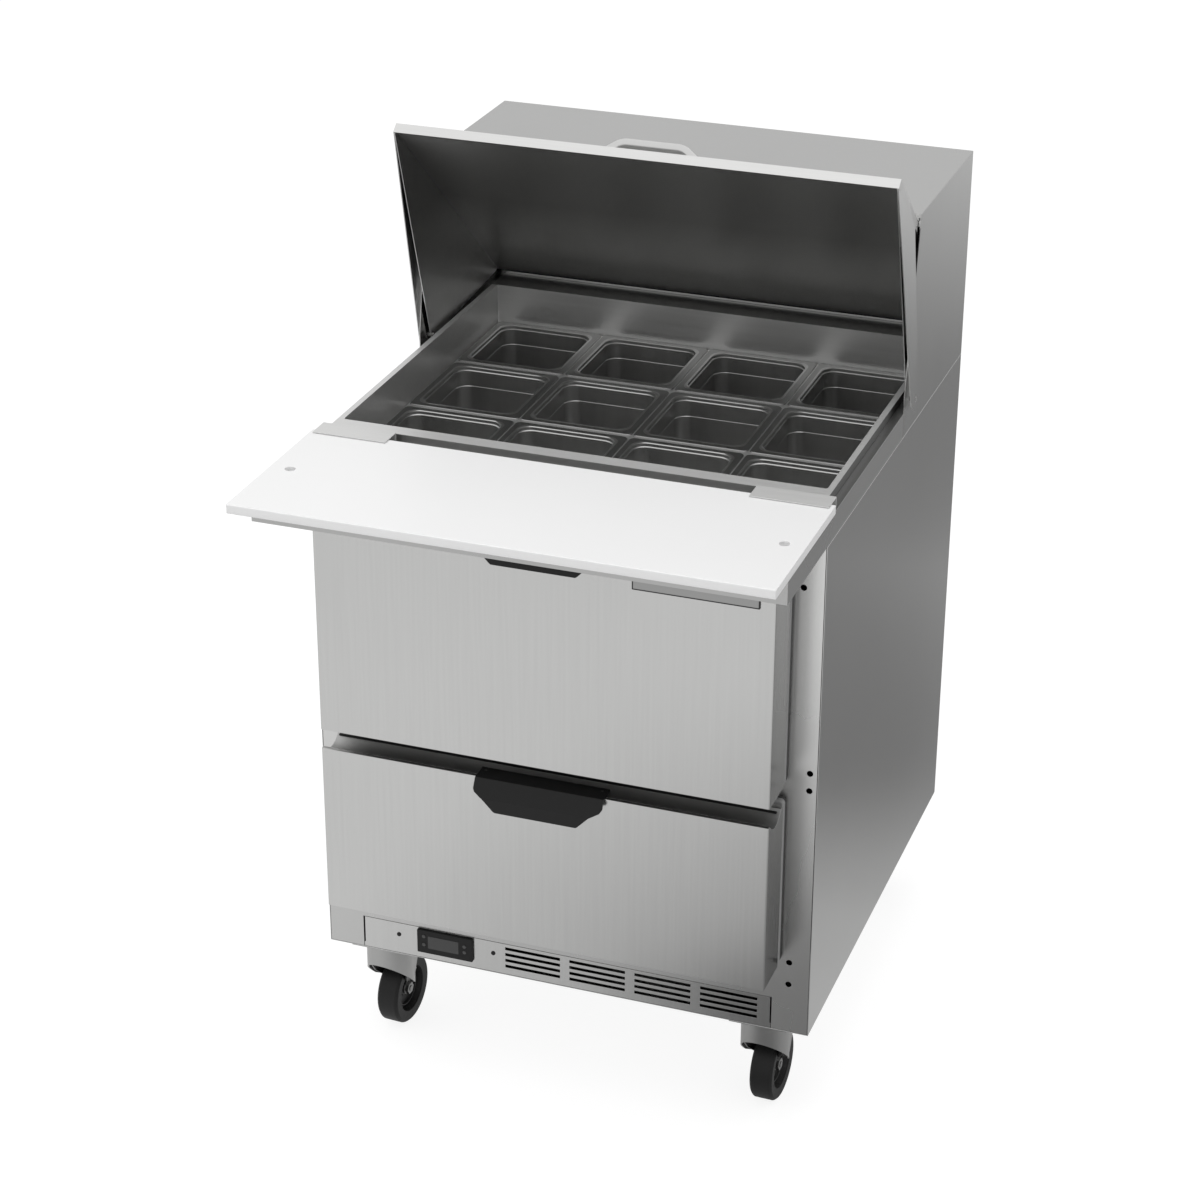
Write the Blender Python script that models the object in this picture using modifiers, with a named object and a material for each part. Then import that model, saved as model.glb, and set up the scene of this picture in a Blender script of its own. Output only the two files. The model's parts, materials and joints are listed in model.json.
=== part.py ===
"""Two-drawer refrigerated sandwich prep table with a raised twelve-pan well, in metres, +Z up."""
import bpy
import bmesh
from math import sin, cos, pi, radians
from mathutils import Matrix, Vector

for old in list(bpy.data.objects):
    bpy.data.objects.remove(old, do_unlink=True)

# frame: X centred, Y = 0 mid depth, Z = 0 on the floor. Parts are drawn from the stile
# face (Y) and the cabinet's underside (Z), then moved by SHIFT.
SHIFT = Vector((0.0, -0.228, 0.157))
HALF_W = 0.343
DEPTH = 0.688
SHEET = 0.0012
BODY_TOP = 0.7085
WORKTOP = 0.744
RIM_TOP = 0.757
FRONT_Y = -0.172
HOOD_TOP = 1.004
HOOD_FRONT = 0.3603
WELL_X, WELL_Y0, WELL_Y1 = 0.323, 0.063, 0.601
LEDGE_Z = 0.698
PAN_PITCH_X, PAN_W, PAN_D, PAN_DEEP = 0.1605, 0.159, 0.1655, 0.100
PAN_ROWS = (0.0915, 0.2635, 0.4355)
PAN_TOP = 0.7018
DRAWER_X, DRAWER_Y0, DRAWER_Y1 = 0.3045, -0.083, -0.0212
DRAWERS = {"upper": (0.380, 0.7045, 0.455), "lower": (0.113, 0.353, 0.405)}
LID_OPEN = radians(69.5)
PIVOT = Vector((0.0, 0.396, 0.752))
WHEEL_R, WHEEL_Z = 0.050, -0.107
CASTERS = {"front_left": (-0.2727, 0.044, -4.0), "front_right": (0.2727, 0.044, -2.0),
           "rear_left": (-0.265, 0.604, 0.0), "rear_right": (0.265, 0.604, 0.0)}
TRAIL = 0.032
CUP_R, CUP_TOP, CUP_RIM = 0.033, -0.0142, -0.036

parts = bpy.data.collections.new("sandwich_prep_table")
cutters = bpy.data.collections.new("cutters")
for c in (parts, cutters):
    bpy.context.scene.collection.children.link(c)

LOOKS = {"steel": ((0.62, 0.62, 0.61), 1.0, 0.28), "dark_steel": ((0.22, 0.22, 0.22), 1.0, 0.3),
         "galvanised": ((0.5, 0.51, 0.52), 0.9, 0.45), "board": ((0.9, 0.9, 0.89), 0.0, 0.4),
         "black_plastic": ((0.02, 0.02, 0.02), 0.0, 0.45), "rubber": ((0.03, 0.03, 0.03), 0.0, 0.7),
         "zinc": ((0.55, 0.55, 0.54), 0.9, 0.35), "copper": ((0.7, 0.4, 0.25), 1.0, 0.3),
         "aluminium": ((0.75, 0.76, 0.77), 1.0, 0.35), "black_paint": ((0.03, 0.03, 0.03), 0.0, 0.5)}


def finish(name, bm, look, cutter=False):
    bmesh.ops.recalc_face_normals(bm, faces=bm.faces)
    me = bpy.data.meshes.new(name)
    bm.to_mesh(me)
    bm.free()
    ob = bpy.data.objects.new(name, me)
    (cutters if cutter else parts).objects.link(ob)
    if cutter:
        ob.hide_render = True
        ob.display_type = "WIRE"
        return ob
    mat = bpy.data.materials.new(name + "_material")
    mat.use_nodes = True
    bsdf = mat.node_tree.nodes["Principled BSDF"]
    colour, metal, rough = LOOKS[look]
    bsdf.inputs["Base Color"].default_value = (*colour, 1)
    bsdf.inputs["Metallic"].default_value = metal
    bsdf.inputs["Roughness"].default_value = rough
    me.materials.append(mat)
    return ob


def block(bm, x, y, z, turn=None):
    """Add a box between two limits on each axis."""
    size = [b - a for a, b in (x, y, z)]
    mid = Vector([(a + b) / 2 for a, b in (x, y, z)])
    m = Matrix.Translation(mid) @ Matrix.Diagonal((*size, 1))
    bmesh.ops.create_cube(bm, size=1.0, matrix=(turn @ m) if turn else m)


def box(name, x, y, z, look="steel", cutter=False):
    bm = bmesh.new()
    block(bm, x, y, z)
    return finish(name, bm, look, cutter)


def rod(bm, at, axis, r, length, seg=24, r2=None):
    """Add a cylinder centred on a point, along X, Y or Z."""
    turn = {"X": Matrix.Rotation(pi / 2, 4, "Y"), "Y": Matrix.Rotation(pi / 2, 4, "X"),
            "Z": Matrix.Identity(4)}[axis]
    bmesh.ops.create_cone(bm, cap_ends=True, segments=seg, radius1=r, radius2=r if r2 is None else r2,
                          depth=length, matrix=Matrix.Translation(at) @ turn)


def prism(name, outline, lo, hi, look="steel", plane="YZ", cutter=False, turn=None):
    """Extrude a closed outline through its plane's third axis."""
    order = {"YZ": lambda a, b, h: (h, a, b), "XZ": lambda a, b, h: (a, h, b),
             "XY": lambda a, b, h: (a, b, h)}[plane]
    bm = bmesh.new()
    face = bm.faces.new([bm.verts.new(order(a, b, lo)) for a, b in outline])
    new = bmesh.ops.extrude_face_region(bm, geom=[face])["geom"]
    bmesh.ops.translate(bm, verts=[v for v in new if isinstance(v, bmesh.types.BMVert)],
                        vec=Vector(order(0, 0, hi)) - Vector(order(0, 0, lo)))
    if turn:
        bmesh.ops.transform(bm, matrix=turn, verts=bm.verts)
    return finish(name, bm, look, cutter)


def rounded(hx, y0, y1, r, z, n=3, xc=0.0):
    """Points of a rounded rectangle at one height."""
    pts = []
    for cx, cy, a0 in ((hx - r, y1 - r, 0), (-hx + r, y1 - r, 90), (-hx + r, y0 + r, 180), (hx - r, y0 + r, 270)):
        for k in range(n + 1):
            a = radians(a0 + 90 * k / n)
            pts.append((xc + cx + r * cos(a), cy + r * sin(a), z))
    return pts


def loft(name, loops, look="steel", ring=False):
    """Join loops of equal length, with end caps or as a closed ring."""
    bm = bmesh.new()
    rows = [[bm.verts.new(p) for p in loop] for loop in loops]
    pairs = list(zip(rows, rows[1:])) + ([(rows[-1], rows[0])] if ring else [])
    for a, b in pairs:
        for k in range(len(a)):
            j = (k + 1) % len(a)
            bm.faces.new((a[k], a[j], b[j], b[k]))
    if not ring:
        bm.faces.new(rows[0])
        bm.faces.new(rows[-1])
    return finish(name, bm, look)


def lathe(name, profile, look, at, axis="X", seg=28, cutter=False):
    """Turn a closed (radius, along) profile about an axis through a point."""
    bm = bmesh.new()
    n = len(profile)
    rows = []
    for s in range(seg):
        a = 2 * pi * s / seg
        row = []
        for r, h in profile:
            u, v = r * cos(a), r * sin(a)
            p = {"X": (h, u, v), "Y": (u, h, v), "Z": (u, v, h)}[axis]
            row.append(bm.verts.new(Vector(p) + Vector(at)))
        rows.append(row)
    for s in range(seg):
        a, b = rows[s], rows[(s + 1) % seg]
        for k in range(n):
            j = (k + 1) % n
            bm.faces.new((a[k], a[j], b[j], b[k]))
    ob = finish(name, bm, look, cutter)
    smooth(ob)
    return ob


def smooth(ob):
    ob.data.shade_smooth()
    ob.data.set_sharp_from_angle(angle=radians(35))


def boolean(ob, other, kind="DIFFERENCE"):
    m = ob.modifiers.new(kind.lower() + "_" + other.name, "BOOLEAN")
    m.operation = kind
    m.solver = "EXACT"
    m.object = other
    return ob


def cut_box(ob, tag, x, y, z):
    return boolean(ob, box("cut_" + tag, x, y, z, cutter=True))


def cut_boxes(ob, tag, boxes):
    bm = bmesh.new()
    for x, y, z in boxes:
        block(bm, x, y, z)
    return boolean(ob, finish("cut_" + tag, bm, None, True))


def bevel(ob, width, segments=2):
    m = ob.modifiers.new("bevel", "BEVEL")
    m.width = width
    m.segments = segments
    m.limit_method = "ANGLE"
    m.angle_limit = radians(40)


def sym(x0, x1):
    return ((-x1, -x0), (x0, x1))


def build_cabinet():
    shell = box("cabinet_shell", (-HALF_W, HALF_W), (0.0, DEPTH), (0.0, BODY_TOP))
    cut_box(shell, "shell_inside", (-HALF_W + SHEET, HALF_W - SHEET), (-0.01, DEPTH - SHEET), (SHEET, 1.0))
    cut_boxes(shell, "rear_louvres", [((s * 0.155 - 0.11, s * 0.155 + 0.11), (0.67, 0.70),
                                       (0.045 + 0.018 * k, 0.051 + 0.018 * k))
                                      for k in range(10) for s in (-1, 1)])
    frame = box("face_frame", (-0.3414, 0.3414), (0.0, 0.028), (0.0016, 0.7080), "steel")
    holes = [((-0.288, 0.288), (-0.01, 0.04), (0.388, 0.690)),
             ((-0.288, 0.288), (-0.01, 0.04), (0.121, 0.345)),
             ((-0.2922, 0.2922), (-0.01, 0.04), (-0.01, 0.0498))]
    cut_boxes(frame, "frame_openings", holes)
    cut_boxes(frame, "frame_stiles", [(sorted((s * 0.2934, s * 0.3402)), (SHEET, 0.05), (0.0028, 0.7068))
                                      for s in (-1, 1)])
    cut_boxes(frame, "frame_rails", [((-0.30, 0.30), (SHEET, 0.05), z)
                                     for z in ((0.0510, 0.1198), (0.3462, 0.3868), (0.6912, 0.7068))])
    bm = bmesh.new()
    for x, z in ((0.315, 0.650), (0.332, 0.393), (0.332, 0.368), (0.314, 0.108), (0.314, 0.0745)):
        for s in (-1, 1):
            rod(bm, (s * x, 0.0, z), "Y", 0.0042, 0.016, 16)
    boolean(frame, finish("cut_stile_holes", bm, None, True))
    out = [(0.0284, 0.068), (0.440, 0.068), (0.440, 0.270), (0.650, 0.270), (0.650, 0.6962), (0.0284, 0.6962)]
    inn = [(-0.1, 0.0692), (0.4388, 0.0692), (0.4388, 0.2712), (0.6488, 0.2712), (0.6488, 0.8), (-0.1, 0.8)]
    liner = prism("inner_liner", out, -0.3122, 0.3122, "aluminium")
    boolean(liner, prism("cut_liner_inside", inn, -0.3110, 0.3110, cutter=True))


def build_worktop():
    top = box("worktop", (-HALF_W, HALF_W), (FRONT_Y, 0.3597), (0.7093, WORKTOP))
    cut_box(top, "worktop_under", (-HALF_W + SHEET, HALF_W - SHEET), (FRONT_Y + SHEET, 0.5), (0.70, WORKTOP - SHEET))
    boolean(top, box("add_worktop_rear", (-0.3412, 0.3412), (0.3590, 0.6862), (WORKTOP - SHEET, WORKTOP),
                     cutter=True), "UNION")
    cut_box(top, "well_opening", (-0.3268, 0.3268), (0.0595, 0.6046), (0.70, 0.80))
    loops = []
    for hx, y0, y1, z in ((0.3105, 0.1005, 0.5908, LEDGE_Z), (WELL_X, WELL_Y0, WELL_Y1, LEDGE_Z),
                          (WELL_X, WELL_Y0, WELL_Y1, RIM_TOP), (0.3310, 0.0406, 0.6515, RIM_TOP),
                          (0.3310, 0.0406, 0.6515, 0.7444), (0.3298, 0.0418, 0.6503, 0.7444),
                          (0.3298, 0.0418, 0.6503, 0.7558), (0.3242, 0.0618, 0.6022, 0.7558),
                          (0.3242, 0.0618, 0.6022, 0.6968), (0.3105, 0.1005, 0.5908, 0.6968)):
        loops.append(rounded(hx, y0, y1, 0.003, z, 2))
    loft("well_liner", loops, "steel", ring=True)
    rack = box("pan_rack", (-0.3217, 0.3217), (0.0646, 0.5995), (0.6984, 0.7000), "steel")
    cut_boxes(rack, "rack_windows", [((x - 0.0695, x + 0.0695), (y + 0.0105, y + PAN_D - 0.0105), (0.69, 0.71))
                                     for x in pan_columns() for y in PAN_ROWS])
    board = box("cutting_board", (-0.342, 0.342), (-0.232, 0.020), (0.7444, 0.757), "board")
    bm = bmesh.new()
    for s in (-1, 1):
        rod(bm, (s * 0.319, -0.107, 0.755), "Z", 0.0065, 0.016, 20)
    boolean(board, finish("cut_board_holes", bm, None, True))
    bevel(board, 0.0015, 2)
    for s, side in ((-1, "left"), (1, "right")):
        angle = [(0.0060, 0.7574), (0.0392, 0.7574), (0.0392, 0.7446), (0.0403, 0.7446),
                 (0.0403, 0.7588), (0.0060, 0.7588)]
        prism("board_bracket_" + side, angle, *sorted((s * 0.240, s * 0.341)), "steel")


def pan_columns():
    return [(k - 1.5) * PAN_PITCH_X for k in range(4)]


def build_pans():
    for row, y in zip(("front", "middle", "rear"), PAN_ROWS):
        for k, x in enumerate(pan_columns()):
            y0, y1, hx = y, y + PAN_D, PAN_W / 2
            low = PAN_TOP - PAN_DEEP
            step = PAN_TOP - 0.030
            shape = ((0.017, 0.018, low + 0.0010, 0.020), (0.0145, 0.0145, step - 0.002, 0.016),
                     (0.0125, 0.0125, step, 0.016), (0.0118, 0.0118, PAN_TOP, 0.015),
                     (0.0004, 0.0004, PAN_TOP, 0.007), (0.0004, 0.0004, PAN_TOP - 0.0014, 0.007),
                     (0.0110, 0.0110, PAN_TOP - 0.0014, 0.0155), (0.0117, 0.0117, step - 0.0006, 0.0165),
                     (0.0137, 0.0137, step - 0.0026, 0.0165), (0.0162, 0.0172, low, 0.0205))
            loops = [rounded(hx - ix, y0 + iy, y1 - iy, r, z, 3, x) for ix, iy, z, r in shape]
            loft("pan_%s_%d" % (row, k + 1), loops, "dark_steel")


def build_drawers():
    for name, (z0, z1, back) in DRAWERS.items():
        front = box("drawer_front_" + name, (-DRAWER_X, DRAWER_X), (DRAWER_Y0, DRAWER_Y1), (z0, z1))
        hollow = box("cut_front_" + name, (-DRAWER_X + SHEET, DRAWER_X - SHEET), (DRAWER_Y0 + SHEET, 0.0),
                     (z0 + SHEET, z1 - SHEET), cutter=True)
        for cut, r in ((hollow, 0.029 + SHEET), (front, 0.029)):
            bm = bmesh.new()
            rod(bm, (0.0, -0.053, z1 + 0.016), "X", r, 0.7, 24)
            boolean(cut, finish("cut_trough_%s_%d" % (name, 1e4 * r), bm, None, True))
        boolean(front, hollow)
        box("drawer_back_" + name, (-0.3029, 0.3029), (-0.0245, DRAWER_Y1), (z0 + 0.0016, z1 - 0.0016),
            "aluminium")
        cut_box(front, "grip_notch_" + name, (-0.0880, 0.0880), (-0.10, -0.0595), (z1 - 0.0060, z1 + 0.01))
        build_grip(name, z1)
        opening = {"upper": (0.388, 0.690), "lower": (0.121, 0.345)}[name]
        seal = box("drawer_gasket_" + name, (-0.299, 0.299), (-0.0208, -0.0004),
                   (opening[0] - 0.011, opening[1] + 0.011), "rubber")
        cut_box(seal, "gasket_" + name, (-0.2885, 0.2885), (-0.1, 0.1), (opening[0] - 0.001, opening[1] + 0.001))
        zb = {"upper": 0.400, "lower": 0.140}[name]
        tray = box("drawer_frame_" + name, (-0.268, 0.268), (-0.0208, back), (zb, zb + 0.130), "steel")
        cut_box(tray, "tray_in_" + name, (-0.2665, 0.2665), (-0.0188, back - 0.0015), (zb + 0.0015, 1.0))
        cut_box(tray, "tray_hole_" + name, (-0.250, 0.250), (0.012, back - 0.022), (0.0, 0.5))
        bm = bmesh.new()
        for x in sym(0.2670, 0.2862):
            block(bm, x, (-0.0204, back - 0.002), (zb + 0.062, zb + 0.098))
        boolean(tray, finish("add_runners_" + name, bm, None, True), "UNION")
        for s, side in ((-1, "left"), (1, "right")):
            x = sorted((s * 0.2705, s * 0.3105))
            rail = box("slide_rail_%s_%s" % (name, side), x, (0.0300, back - 0.01), (zb + 0.0585, zb + 0.1015), "zinc")
            cut_box(rail, "rail_%s_%s" % (name, side), sorted((s * 0.20, s * 0.3088)), (-0.1, 1.0),
                    (zb + 0.0600, zb + 0.1000))


def build_grip(name, top):
    """A flared pull: a flat strip in the front's notch, a slope forwards and down, then an upright lip."""
    fold = [(-0.0600, -0.0002), (-0.0822, -0.0002), (-0.1026, -0.0200), (-0.1026, -0.0383),
            (-0.0998, -0.0383), (-0.0998, -0.0215), (-0.0810, -0.0032), (-0.0600, -0.0032)]
    outline = [(0.0873, 0.01), (0.0873, -0.0120), (0.0850, -0.0150), (0.0731, -0.0206), (0.0575, -0.0368),
               (0.0552, -0.0383)]
    outline += [(-x, z) for x, z in reversed(outline)]
    grip = prism("drawer_handle_" + name, [(y, top + z) for y, z in fold], -0.0873, 0.0873, "black_plastic")
    sides = prism("cut_grip_sides_" + name, [(x, top + z) for x, z in outline], -0.11, -0.05, plane="XZ", cutter=True)
    boolean(grip, sides, "INTERSECT")
    clip = box("add_grip_clip_" + name, (-0.08, 0.08), (-0.0795, -0.0760), (top - 0.016, top - 0.002), cutter=True)
    boolean(grip, clip, "UNION")


def build_panel():
    grille = box("grille_panel", (-0.2915, 0.2915), (0.0002, 0.0016), (0.0016, 0.0490))
    slots = [((x0, x1), (-0.01, 0.01), (0.0121 + 0.0092 * k, 0.0165 + 0.0092 * k))
             for x0, x1 in ((-0.0835, -0.0045), (0.009, 0.088), (0.1015, 0.180), (0.1935, 0.2725)) for k in range(4)]
    slots += [(sorted((s * 0.2900, s * 0.2950)), (-0.01, 0.01), (0.0085, 0.0600)) for s in (-1, 1)]
    slots.append(((-0.2060, -0.1350), (-0.01, 0.01), (0.0160, 0.0440)))
    cut_boxes(grille, "grille", slots)
    ctrl = box("controller", (-0.2110, -0.1300), (-0.0042, -0.0002), (0.0120, 0.0480), "black_plastic")
    boolean(ctrl, box("add_controller_body", (-0.2055, -0.1355), (-0.0020, 0.0400), (0.0165, 0.0435),
                      cutter=True), "UNION")
    cut_box(ctrl, "display", (-0.1950, -0.1530), (-0.01, -0.0032), (0.0200, 0.0400))
    box("badge_plate", (0.122, 0.285), (-0.0848, -0.0834), (0.654, 0.680), "steel")


def build_hood():
    hood = box("hood", (-HALF_W, HALF_W), (HOOD_FRONT, DEPTH), (0.7093, HOOD_TOP))
    cut_box(hood, "hood_inside", (-HALF_W + SHEET, HALF_W - SHEET), (0.2, DEPTH - SHEET), (0.70, HOOD_TOP - SHEET))
    boolean(hood, prism("cut_hood_front", [(0.30, 0.765), (HOOD_FRONT, 0.765), (0.397, HOOD_TOP + 0.001),
                                           (0.397, 1.1), (0.30, 1.1)], -0.4, 0.4, cutter=True))
    bm = bmesh.new()
    rod(bm, PIVOT, "X", 0.0042, 0.8, 24)
    boolean(hood, finish("cut_hood_pivot", bm, None, True))
    boolean(hood, box("add_rear_ledge", (-0.336, 0.336), (0.6524, 0.6875), (0.7446, 0.7600), cutter=True), "UNION")


def lid_outline():
    """Lid side shapes about the pivot, with the lid shut."""
    lip = Vector((-0.3402, 0.0075))
    nose = lip + Vector((cos(radians(108.8)), sin(radians(108.8)))) * 0.0142
    tail = Vector((0.0673, 0.2460))
    along = (tail - nose).normalized()
    inward = Vector((along.y, -along.x))
    under = tail + inward * 0.0125
    return lip, nose, tail, along, inward, under


def build_lid():
    swing = Matrix.Translation(PIVOT) @ Matrix.Rotation(-LID_OPEN, 4, "X")
    lip, nose, tail, along, inward, under = lid_outline()
    front_under = nose + inward * 0.0125 + along * 0.010
    slab = [lip, nose, tail, under, front_under]
    lid = prism("lid", [tuple(p) for p in slab], -0.3400, 0.3400, turn=swing)
    skinned = [nose + along * 0.012 + inward * SHEET, tail + along * 0.02 + inward * SHEET,
               tail + along * 0.02 + inward * (0.0125 - SHEET), nose + along * 0.012 + inward * (0.0125 - SHEET)]
    boolean(lid, prism("cut_lid_inside", [tuple(p) for p in skinned], -0.3388, 0.3388, turn=swing, cutter=True))
    skin = [lip + along * 0.002 + inward * 0.0015, nose + inward * 0.002, tail + inward * 0.002, (0.070, 0.226),
            (0.0062, 0.0022), (0.0058, -0.0031), (0.0015, -0.0064), (-0.012, -0.0064)]
    b = nose + along * 0.118
    blade = [lip + Vector((0.0004, 0.0002)), nose + inward * 0.0006, b + inward * 0.0006, (-0.1522, 0.0441),
             (0.006, 0.0120), (0.0125, 0.0020), (0.010, -0.0120), (-0.004, -0.0215), (-0.016, -0.0215)]
    foot = Vector((-0.016, -0.0215))
    run = (foot - lip).normalized()
    for s, side in ((-1, "left"), (1, "right")):
        boolean(lid, prism("add_lid_skin_" + side, [tuple(p) for p in skin], *sorted((s * 0.3375, s * 0.3386)),
                           turn=swing, cutter=True), "UNION")
        hinge_line = Vector((0, -run.y, run.x))
        tilt = (Matrix.Translation((s * 0.3397, *lip)) @ Matrix.Rotation(-s * radians(1.62), 4, hinge_line)
                @ Matrix.Translation((-s * 0.3397, -lip.x, -lip.y)))
        boolean(lid, prism("add_lid_wing_" + side, [tuple(p) for p in blade], *sorted((s * 0.3385, s * 0.3397)),
                           turn=swing @ tilt, cutter=True), "UNION")
    bm = bmesh.new()
    rod(bm, PIVOT, "X", 0.0042, 0.8, 24)
    boolean(lid, finish("cut_lid_pivot", bm, None, True))
    for s, side in ((-1, "left"), (1, "right")):
        bm = bmesh.new()
        rod(bm, (s * 0.3436, *PIVOT[1:]), "X", 0.0038, 0.0160, 24)
        pin = finish("pivot_pin_" + side, bm, "zinc")
        bm = bmesh.new()
        rod(bm, (s * 0.3522, *PIVOT[1:]), "X", 0.0065, 0.0020, 24)
        boolean(pin, finish("add_pin_head_" + side, bm, None, True), "UNION")
        smooth(pin)
    build_lid_handle(swing, nose, along, inward)


def build_lid_handle(swing, nose, along, inward):
    t = 0.0025
    top = [(-0.0640, 0.0004), (-0.0530, 0.0004), (-0.0385, 0.0195), (0.0385, 0.0195), (0.0530, 0.0004),
           (0.0640, 0.0004), (0.0640, 0.0004 + t), (0.0542, 0.0004 + t), (0.0396, 0.0195 + t),
           (-0.0396, 0.0195 + t), (-0.0542, 0.0004 + t), (-0.0640, 0.0004 + t)]
    slope = Matrix(((1, 0, 0, 0), (0, along.x, -inward.x, nose.x), (0, along.y, -inward.y, nose.y), (0, 0, 0, 1)))
    handle = prism("lid_handle", top, 0.030, 0.052, "steel", "XZ", turn=swing @ slope)
    return handle


def build_casters():
    for name, (x, y, turn) in CASTERS.items():
        spin = Matrix.Translation((x, y, 0)) @ Matrix.Rotation(radians(turn), 4, "Z")
        bm = bmesh.new()
        block(bm, (-0.040, 0.040), (-0.040, 0.040), (-0.0040, -0.0004))
        plate = finish("caster_plate_" + name, bm, "zinc")
        bm = bmesh.new()
        rod(bm, (0, 0, -0.0085), "Z", 0.021, 0.0105, 32)
        boolean(plate, move(finish("add_race_" + name, bm, None, True), Matrix.Translation((x, y, 0))), "UNION")
        move(plate, Matrix.Translation((x, y, 0)))
        fork = build_fork(name, spin)
        move(fork, spin, origin=(x, y, 0))
        tread, face, dish = 0.0160, 0.0155, 0.0335
        ring = [(0.0060, -0.0085), (0.0120, -0.0085), (0.0130, -0.0040), (0.0315, -0.0040), (dish, -face),
                (0.0465, -tread), (WHEEL_R, -0.0125), (WHEEL_R, 0.0125), (0.0465, tread),
                (dish, face), (0.0315, 0.0040), (0.0130, 0.0040), (0.0120, 0.0085), (0.0060, 0.0085)]
        wheel = lathe("caster_wheel_" + name, ring, "rubber", (0, TRAIL, WHEEL_Z))
        hub = spin @ Vector((0, TRAIL, WHEEL_Z))
        move(wheel, spin, origin=hub)


def build_fork(name, spin):
    """A round cup cut on a slant at the front, with two legs that lean in to the wheel's hub."""
    bm = bmesh.new()
    rod(bm, (0, 0, CUP_TOP - 0.035), "Z", CUP_R, 0.070, 32)
    fork = finish("caster_fork_" + name, bm, "zinc")
    bm = bmesh.new()
    rod(bm, (0, 0, CUP_TOP - 0.052), "Z", CUP_R - 0.002, 0.100, 32)
    inside = finish("cut_cup_inside_" + name, bm, None, True)
    slant = [(-0.10, CUP_RIM + 0.10 - CUP_R), (0.0085, CUP_RIM - CUP_R - 0.0085), (0.06, -0.03),
             (0.06, -0.2), (-0.10, -0.2)]
    rim = prism("cut_cup_rim_" + name, slant, -0.05, 0.05, cutter=True)
    back = box("cut_cup_back_" + name, (-0.0200, 0.0200), (0.0, 0.06), (-0.20, CUP_TOP - 0.012), cutter=True)
    for cut in (inside, rim, back):
        boolean(fork, move(cut, spin))
    knee, hub_in, hub_out = -0.100, 0.0096, 0.0121
    lean = (CUP_R - 0.0014 - hub_out) / (-0.0540 - knee)
    leg = [(-0.0060, -0.0540), (-0.0020, -0.0672), (0.0230, -0.0925), (0.0240, -0.1010), (0.0402, -0.1010),
           (0.0400, -0.0880), (0.0310, -0.0690), (0.0100, -0.0500)]
    rods = [("eye", 0.0095, hub_in, hub_out, 16), ("nut", 0.0075, 0.0115, 0.0195, 6),
            ("bolt", 0.0040, 0.0105, 0.0225, 10)]
    for s, side in ((-1, "left"), (1, "right")):
        shear = Matrix(((1, 0, s * lean, -s * lean * knee), (0, 1, 0, 0), (0, 0, 1, 0), (0, 0, 0, 1)))
        across = sorted((s * hub_in, s * hub_out))
        added = [prism("add_leg_%s_%s" % (name, side), leg, *across, turn=shear, cutter=True)]
        for tag, r, x0, x1, seg in rods:
            bm = bmesh.new()
            rod(bm, (s * (x0 + x1) / 2, TRAIL, WHEEL_Z), "X", r, x1 - x0, seg)
            added.append(finish("add_%s_%s_%s" % (tag, name, side), bm, None, True))
        for ob in added:
            boolean(fork, move(ob, spin), "UNION")
    bm = bmesh.new()
    rod(bm, (0, TRAIL, WHEEL_Z), "X", 0.0050, 0.0225, 12)
    return boolean(fork, move(finish("add_axle_" + name, bm, None, True), spin), "UNION")


def move(ob, matrix, origin=None):
    """Place an object, keeping its origin on a joint where one is given."""
    ob.data.transform(matrix)
    if origin is not None:
        at = Vector(origin)
        ob.data.transform(Matrix.Translation(-at))
        ob.location = at
    return ob


def fan(name, at, r, blades=5):
    bm = bmesh.new()
    rod(bm, at, "Y", 0.022, 0.018, 24)
    hub = finish(name, bm, "black_plastic")
    for k in range(blades):
        a = 2 * pi * k / blades
        m = Matrix.Translation(at) @ Matrix.Rotation(a, 4, "Y") @ Matrix.Rotation(radians(24), 4, "Z")
        bm = bmesh.new()
        block(bm, (-0.019, 0.019), (-0.0010, 0.0010), (0.012, r), m)
        boolean(hub, finish("add_%s_blade_%d" % (name, k), bm, None, True), "UNION")
    return move(hub, Matrix.Identity(4), origin=at)


def build_machine():
    profile = [(0.0, 0.0), (0.060, 0.004), (0.074, 0.020), (0.076, 0.050), (0.076, 0.110), (0.070, 0.140),
               (0.045, 0.160), (0.0, 0.166)]
    bm = bmesh.new()
    rows = []
    for s in range(32):
        a = 2 * pi * s / 32
        rows.append([bm.verts.new((r * cos(a) - 0.19, r * sin(a) + 0.575, h + 0.020)) for r, h in profile[1:-1]])
    for s in range(32):
        a, b = rows[s], rows[(s + 1) % 32]
        for k in range(len(a) - 1):
            bm.faces.new((a[k], a[k + 1], b[k + 1], b[k]))
    bm.faces.new([r[0] for r in rows])
    bm.faces.new([r[-1] for r in rows])
    comp = finish("compressor", bm, "black_paint")
    boolean(comp, box("add_compressor_foot", (-0.275, -0.105), (0.500, 0.650), (0.0016, 0.0250), cutter=True), "UNION")
    coil = box("condenser_coil", (0.020, 0.300), (0.460, 0.510), (0.0030, 0.230), "aluminium")
    cut_boxes(coil, "condenser_fins", [((0.030 + 0.013 * k, 0.037 + 0.013 * k), (0.45, 0.472), (0.012, 0.220))
                                       for k in range(20)])
    fan("condenser_fan", Vector((0.160, 0.545, 0.118)), 0.092)
    coil = box("evaporator_coil", (-0.200, 0.200), (0.585, 0.640), (0.300, 0.440), "aluminium")
    cut_boxes(coil, "evaporator_fins", [((-0.190 + 0.0195 * k, -0.181 + 0.0195 * k), (0.58, 0.600), (0.310, 0.430))
                                        for k in range(20)])
    fan("evaporator_fan", Vector((0.0, 0.560, 0.370)), 0.060)


def settle():
    for ob in list(parts.objects) + list(cutters.objects):
        ob.location = ob.location + SHIFT


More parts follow.
